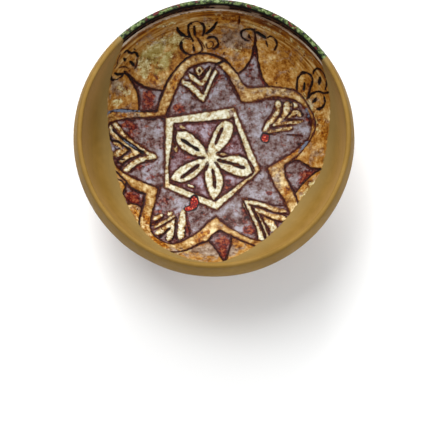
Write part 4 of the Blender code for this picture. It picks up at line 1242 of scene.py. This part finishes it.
def rim_colour(f, colour, drop):
    """The original rim inside: pale between the rings, maroon above with painted glare, painted shade under
    the lip.
    """
    pale = f.times(f.step(drop, *PALE_RING_FOOT), f.step(drop, *PALE_RING_TOP))
    colour = f.mix(f.times(pale, 0.95), colour, f.ramp(f.streak, BLOOM))
    # Painted highlight: pale glare laid over the maroon near the far rim
    maroon = f.patched(f.ramp(f.small, MAROON), f.note("haze_and_glare"), 0.9, 0.004, HAZE_AND_GLARE_RAMP, f.streak)
    colour = f.mix(f.times(f.step(drop, *MAROON_RIM), f.inner), colour, maroon)
    # Painted shade just under the lip, on the inside
    return f.mix(f.times(f.step(drop, *LIP_SHADE_BAND), f.inner), colour, LIP_SHADE)


def outside_colour(f, glazed):
    """Pale amber glaze with green runs, and bare clay below it."""
    coat = f.ramp(f.mixed, COAT)
    coat = f.covered(coat, f.noise(0.012, 3, 0.6, 1.0), 0.55, 0.68, f.ramp(f.small, GREEN))
    coat = f.covered(coat, f.note("line"), -0.5, 0.2, OUTSIDE_LINES)
    return f.mix(glazed, f.ramp(f.mixed, CLAY), coat)


def lip_colour(f, colour):
    """Green with red spots on the lip, which runs further down outside."""
    ragged = f.frayed(f.note("drop"), f.middle, f.step(f.inner, 0.0, 1.0, 9.0, 1.0))
    above = f.minus(ragged, f.step(f.inner, 0.0, 1.0, GREEN_OUTSIDE, GREEN_INSIDE))
    lip = f.covered(f.ramp(f.small, GREEN), f.noise(0.006, 3, 0.6), 0.56, 0.6, LIP_FLECK)
    return f.covered(colour, above, 0.6, -0.6, lip)


def pottery_finish():
    """Amber glaze over pale slip, violet grounds, dark lines, and bare clay on the foot."""
    f = Pottery()
    drop = f.frayed(f.note("drop"), f.small, 1.6)
    height = f.node("ShaderNodeSeparateXYZ", {0: f.place}).outputs[2]
    glazed = f.step(f.frayed(height, f.noise(0.02, 3, 0.5), 0.03), *GLAZE_END)
    colour = rim_colour(f, drawn_colour(f), drop)
    colour = f.mix(f.side(0.0, 1.0), colour, outside_colour(f, glazed))
    colour = lip_colour(f, colour)
    colour = f.covered(colour, f.frayed(f.note("edge"), f.small, 3.0), 0.9, 0.1, SMEARED_EDGE)
    f.feed(f.shader.inputs["Base Color"], colour)
    rough = f.plus(f.step(f.small, 0.3, 0.7, 0.36, 0.56), f.step(f.note("line"), -0.3, 0.3, 0.0, 0.15))
    matte = f.times(f.step(drop, *MATTE_RIM, 0.0, 0.9), f.times(f.step(drop, 1.0, 2.5), f.inner))
    bare = f.times(f.side(0.0, 0.85), f.minus(1.0, glazed))
    f.feed(f.shader.inputs["Roughness"], f.sums("MAXIMUM", f.sums("MAXIMUM", rough, matte), bare))
    grain = f.plus(f.times(f.fine, 0.5), f.small)
    bump = f.node("ShaderNodeBump", {"Height": grain, "Strength": 0.35, "Distance": 0.0003})
    f.feed(f.shader.inputs["Normal"], bump.outputs[0])
    return f.material


def plaster_finish():
    """Smooth toned plaster, faintly mottled and banded, with painted light on its inside, darker at the crest
    and paler along the break.
    """
    f = Finish("toned_plaster")
    f.shader.inputs["Specular IOR Level"].default_value = 0.2
    fine = f.noise(0.0012, 3, 0.6)
    small = f.noise(0.006, 4, 0.55)
    broad = f.noise(0.03, 4, 0.6)
    colour = f.ramp(f.plus(f.times(broad, 0.7), f.times(small, 0.3)), PLASTER)
    colour = f.covered(colour, fine, 0.6, 0.8, DARK_SPECK, 0.6)
    within = f.side(1.0, 0.0)
    # Painted light: the inside of the infill made paler from just under the crest to about 42 below it
    lit = f.times(f.step(f.note("drop"), 1.5, 7.0), f.step(f.note("drop"), 42.0, 20.0, 0.0, 0.85))
    colour = f.mix(f.times(lit, within), colour, LIT_WALL)
    # Darker towards the crest, most on the outside of the lip
    crest_distance = f.sums("MULTIPLY_ADD", within, 5.0, f.note("drop"))
    colour = f.covered(colour, crest_distance, 7.0, 2.0, DARK_LIP_TONE, 0.45)
    # Paler along the break, within 15 of it
    colour = f.covered(colour, f.note("edge"), 15.0, 2.0, PALE_BREAK_EDGE, 0.5)
    f.feed(f.shader.inputs["Base Color"], colour)
    f.feed(f.shader.inputs["Roughness"], f.step(small, 0.3, 0.7, 0.62, 0.8))
    bump = f.node("ShaderNodeBump", {"Height": f.plus(small, fine), "Strength": 0.2, "Distance": 0.0002})
    f.feed(f.shader.inputs["Normal"], bump.outputs[0])
    return f.material


def floor():
    """A plain pale floor."""
    half = 3.0
    mesh = bpy.data.meshes.new("floor")
    corners = [(-half, -half, 0), (half, -half, 0), (half, half, 0), (-half, half, 0)]
    mesh.from_pydata(corners, [], [(0, 1, 2, 3)])
    f = Finish("pale_floor")
    f.shader.inputs["Base Color"].default_value = (0.86, 0.86, 0.85, 1)
    f.shader.inputs["Roughness"].default_value = 0.9
    mesh.materials.append(f.material)
    added("floor", mesh)


def light(name, place, size, power):
    """A soft square lamp that faces the bowl."""
    data = bpy.data.lights.new(name, "AREA")
    data.size = size
    data.energy = power
    lamp = added(name, data)
    lamp.location = place
    lamp.rotation_euler = (Vector(LAMP_TARGET) - Vector(place)).to_track_quat("-Z", "Y").to_euler()


def camera():
    """The photograph's camera, aimed below the rim so that the bowl sits high in the frame."""
    data = bpy.data.cameras.new("camera")
    data.sensor_width = 36
    data.lens = FOCAL_PIXELS / FRAME_PIXELS * data.sensor_width
    eye = added("camera", data)
    back = Vector((
        math.sin(VIEW_AZIMUTH) * math.cos(VIEW_ELEVATION),
        -math.cos(VIEW_AZIMUTH) * math.cos(VIEW_ELEVATION),
        math.sin(VIEW_ELEVATION),
    ))
    eye.location = Vector((0, 0, BOWL_HEIGHT)) + back * VIEW_DISTANCE
    down = -math.atan(RIM_ABOVE_MIDDLE / FOCAL_PIXELS)
    tip = Euler((down, math.atan(RIM_RIGHT_OF_MIDDLE / FOCAL_PIXELS), 0))
    eye.rotation_mode = "QUATERNION"
    eye.rotation_quaternion = (-back).to_track_quat("-Z", "Y") @ tip.to_quaternion()
    bpy.context.scene.camera = eye


def daylight():
    """Soft studio light from above, with an even fill, and colours shown as they are."""
    bpy.context.scene.view_settings.view_transform = "Standard"
    world = bpy.data.worlds.new("studio")
    bpy.context.scene.world = world
    world.use_nodes = True
    background = world.node_tree.nodes["Background"].inputs
    background["Color"].default_value = (0.95, 0.97, 1.0, 1)
    background["Strength"].default_value = 0.55
    for lamp in LAMPS:
        light(*lamp)


SIDES = Side(list(inside_curves()), 1), Side(list(outside_curves()), -1)
UNIT = SIDES[0].reach / PLAN_RADIUS
DRAWING = drawing()
OUTSIDE_DRAWING = outside_strokes(SIDES[1], UNIT)
STROKE_POINTS = np.concatenate([*DRAWING[0].mesh_points(), *DRAWING[1].mesh_points()])
RIM_POINTS = np.concatenate(list(OUTSIDE_DRAWING.mesh_points()))
NONE = np.zeros((0, 2))

shift = BREAK_GAP / 2 / UNIT
bowl = shell("carved_bowl", SIDES, shift, glazed_inside, glazed_outside, (STROKE_POINTS, RIM_POINTS))
infill = shell("toned_infill", SIDES, -shift, plaster_side(41, 0.0), plaster_side(61, 1.0), (NONE, NONE))
bowl.data.materials.append(pottery_finish())
infill.data.materials.append(plaster_finish())
for piece, node, slot in ((bowl, "glazed_bowl", "glazed_clay"), (infill, "plaster_infill", "tinted_plaster")):
    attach(piece, "root")
    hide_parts(node)

floor()
camera()
daylight()
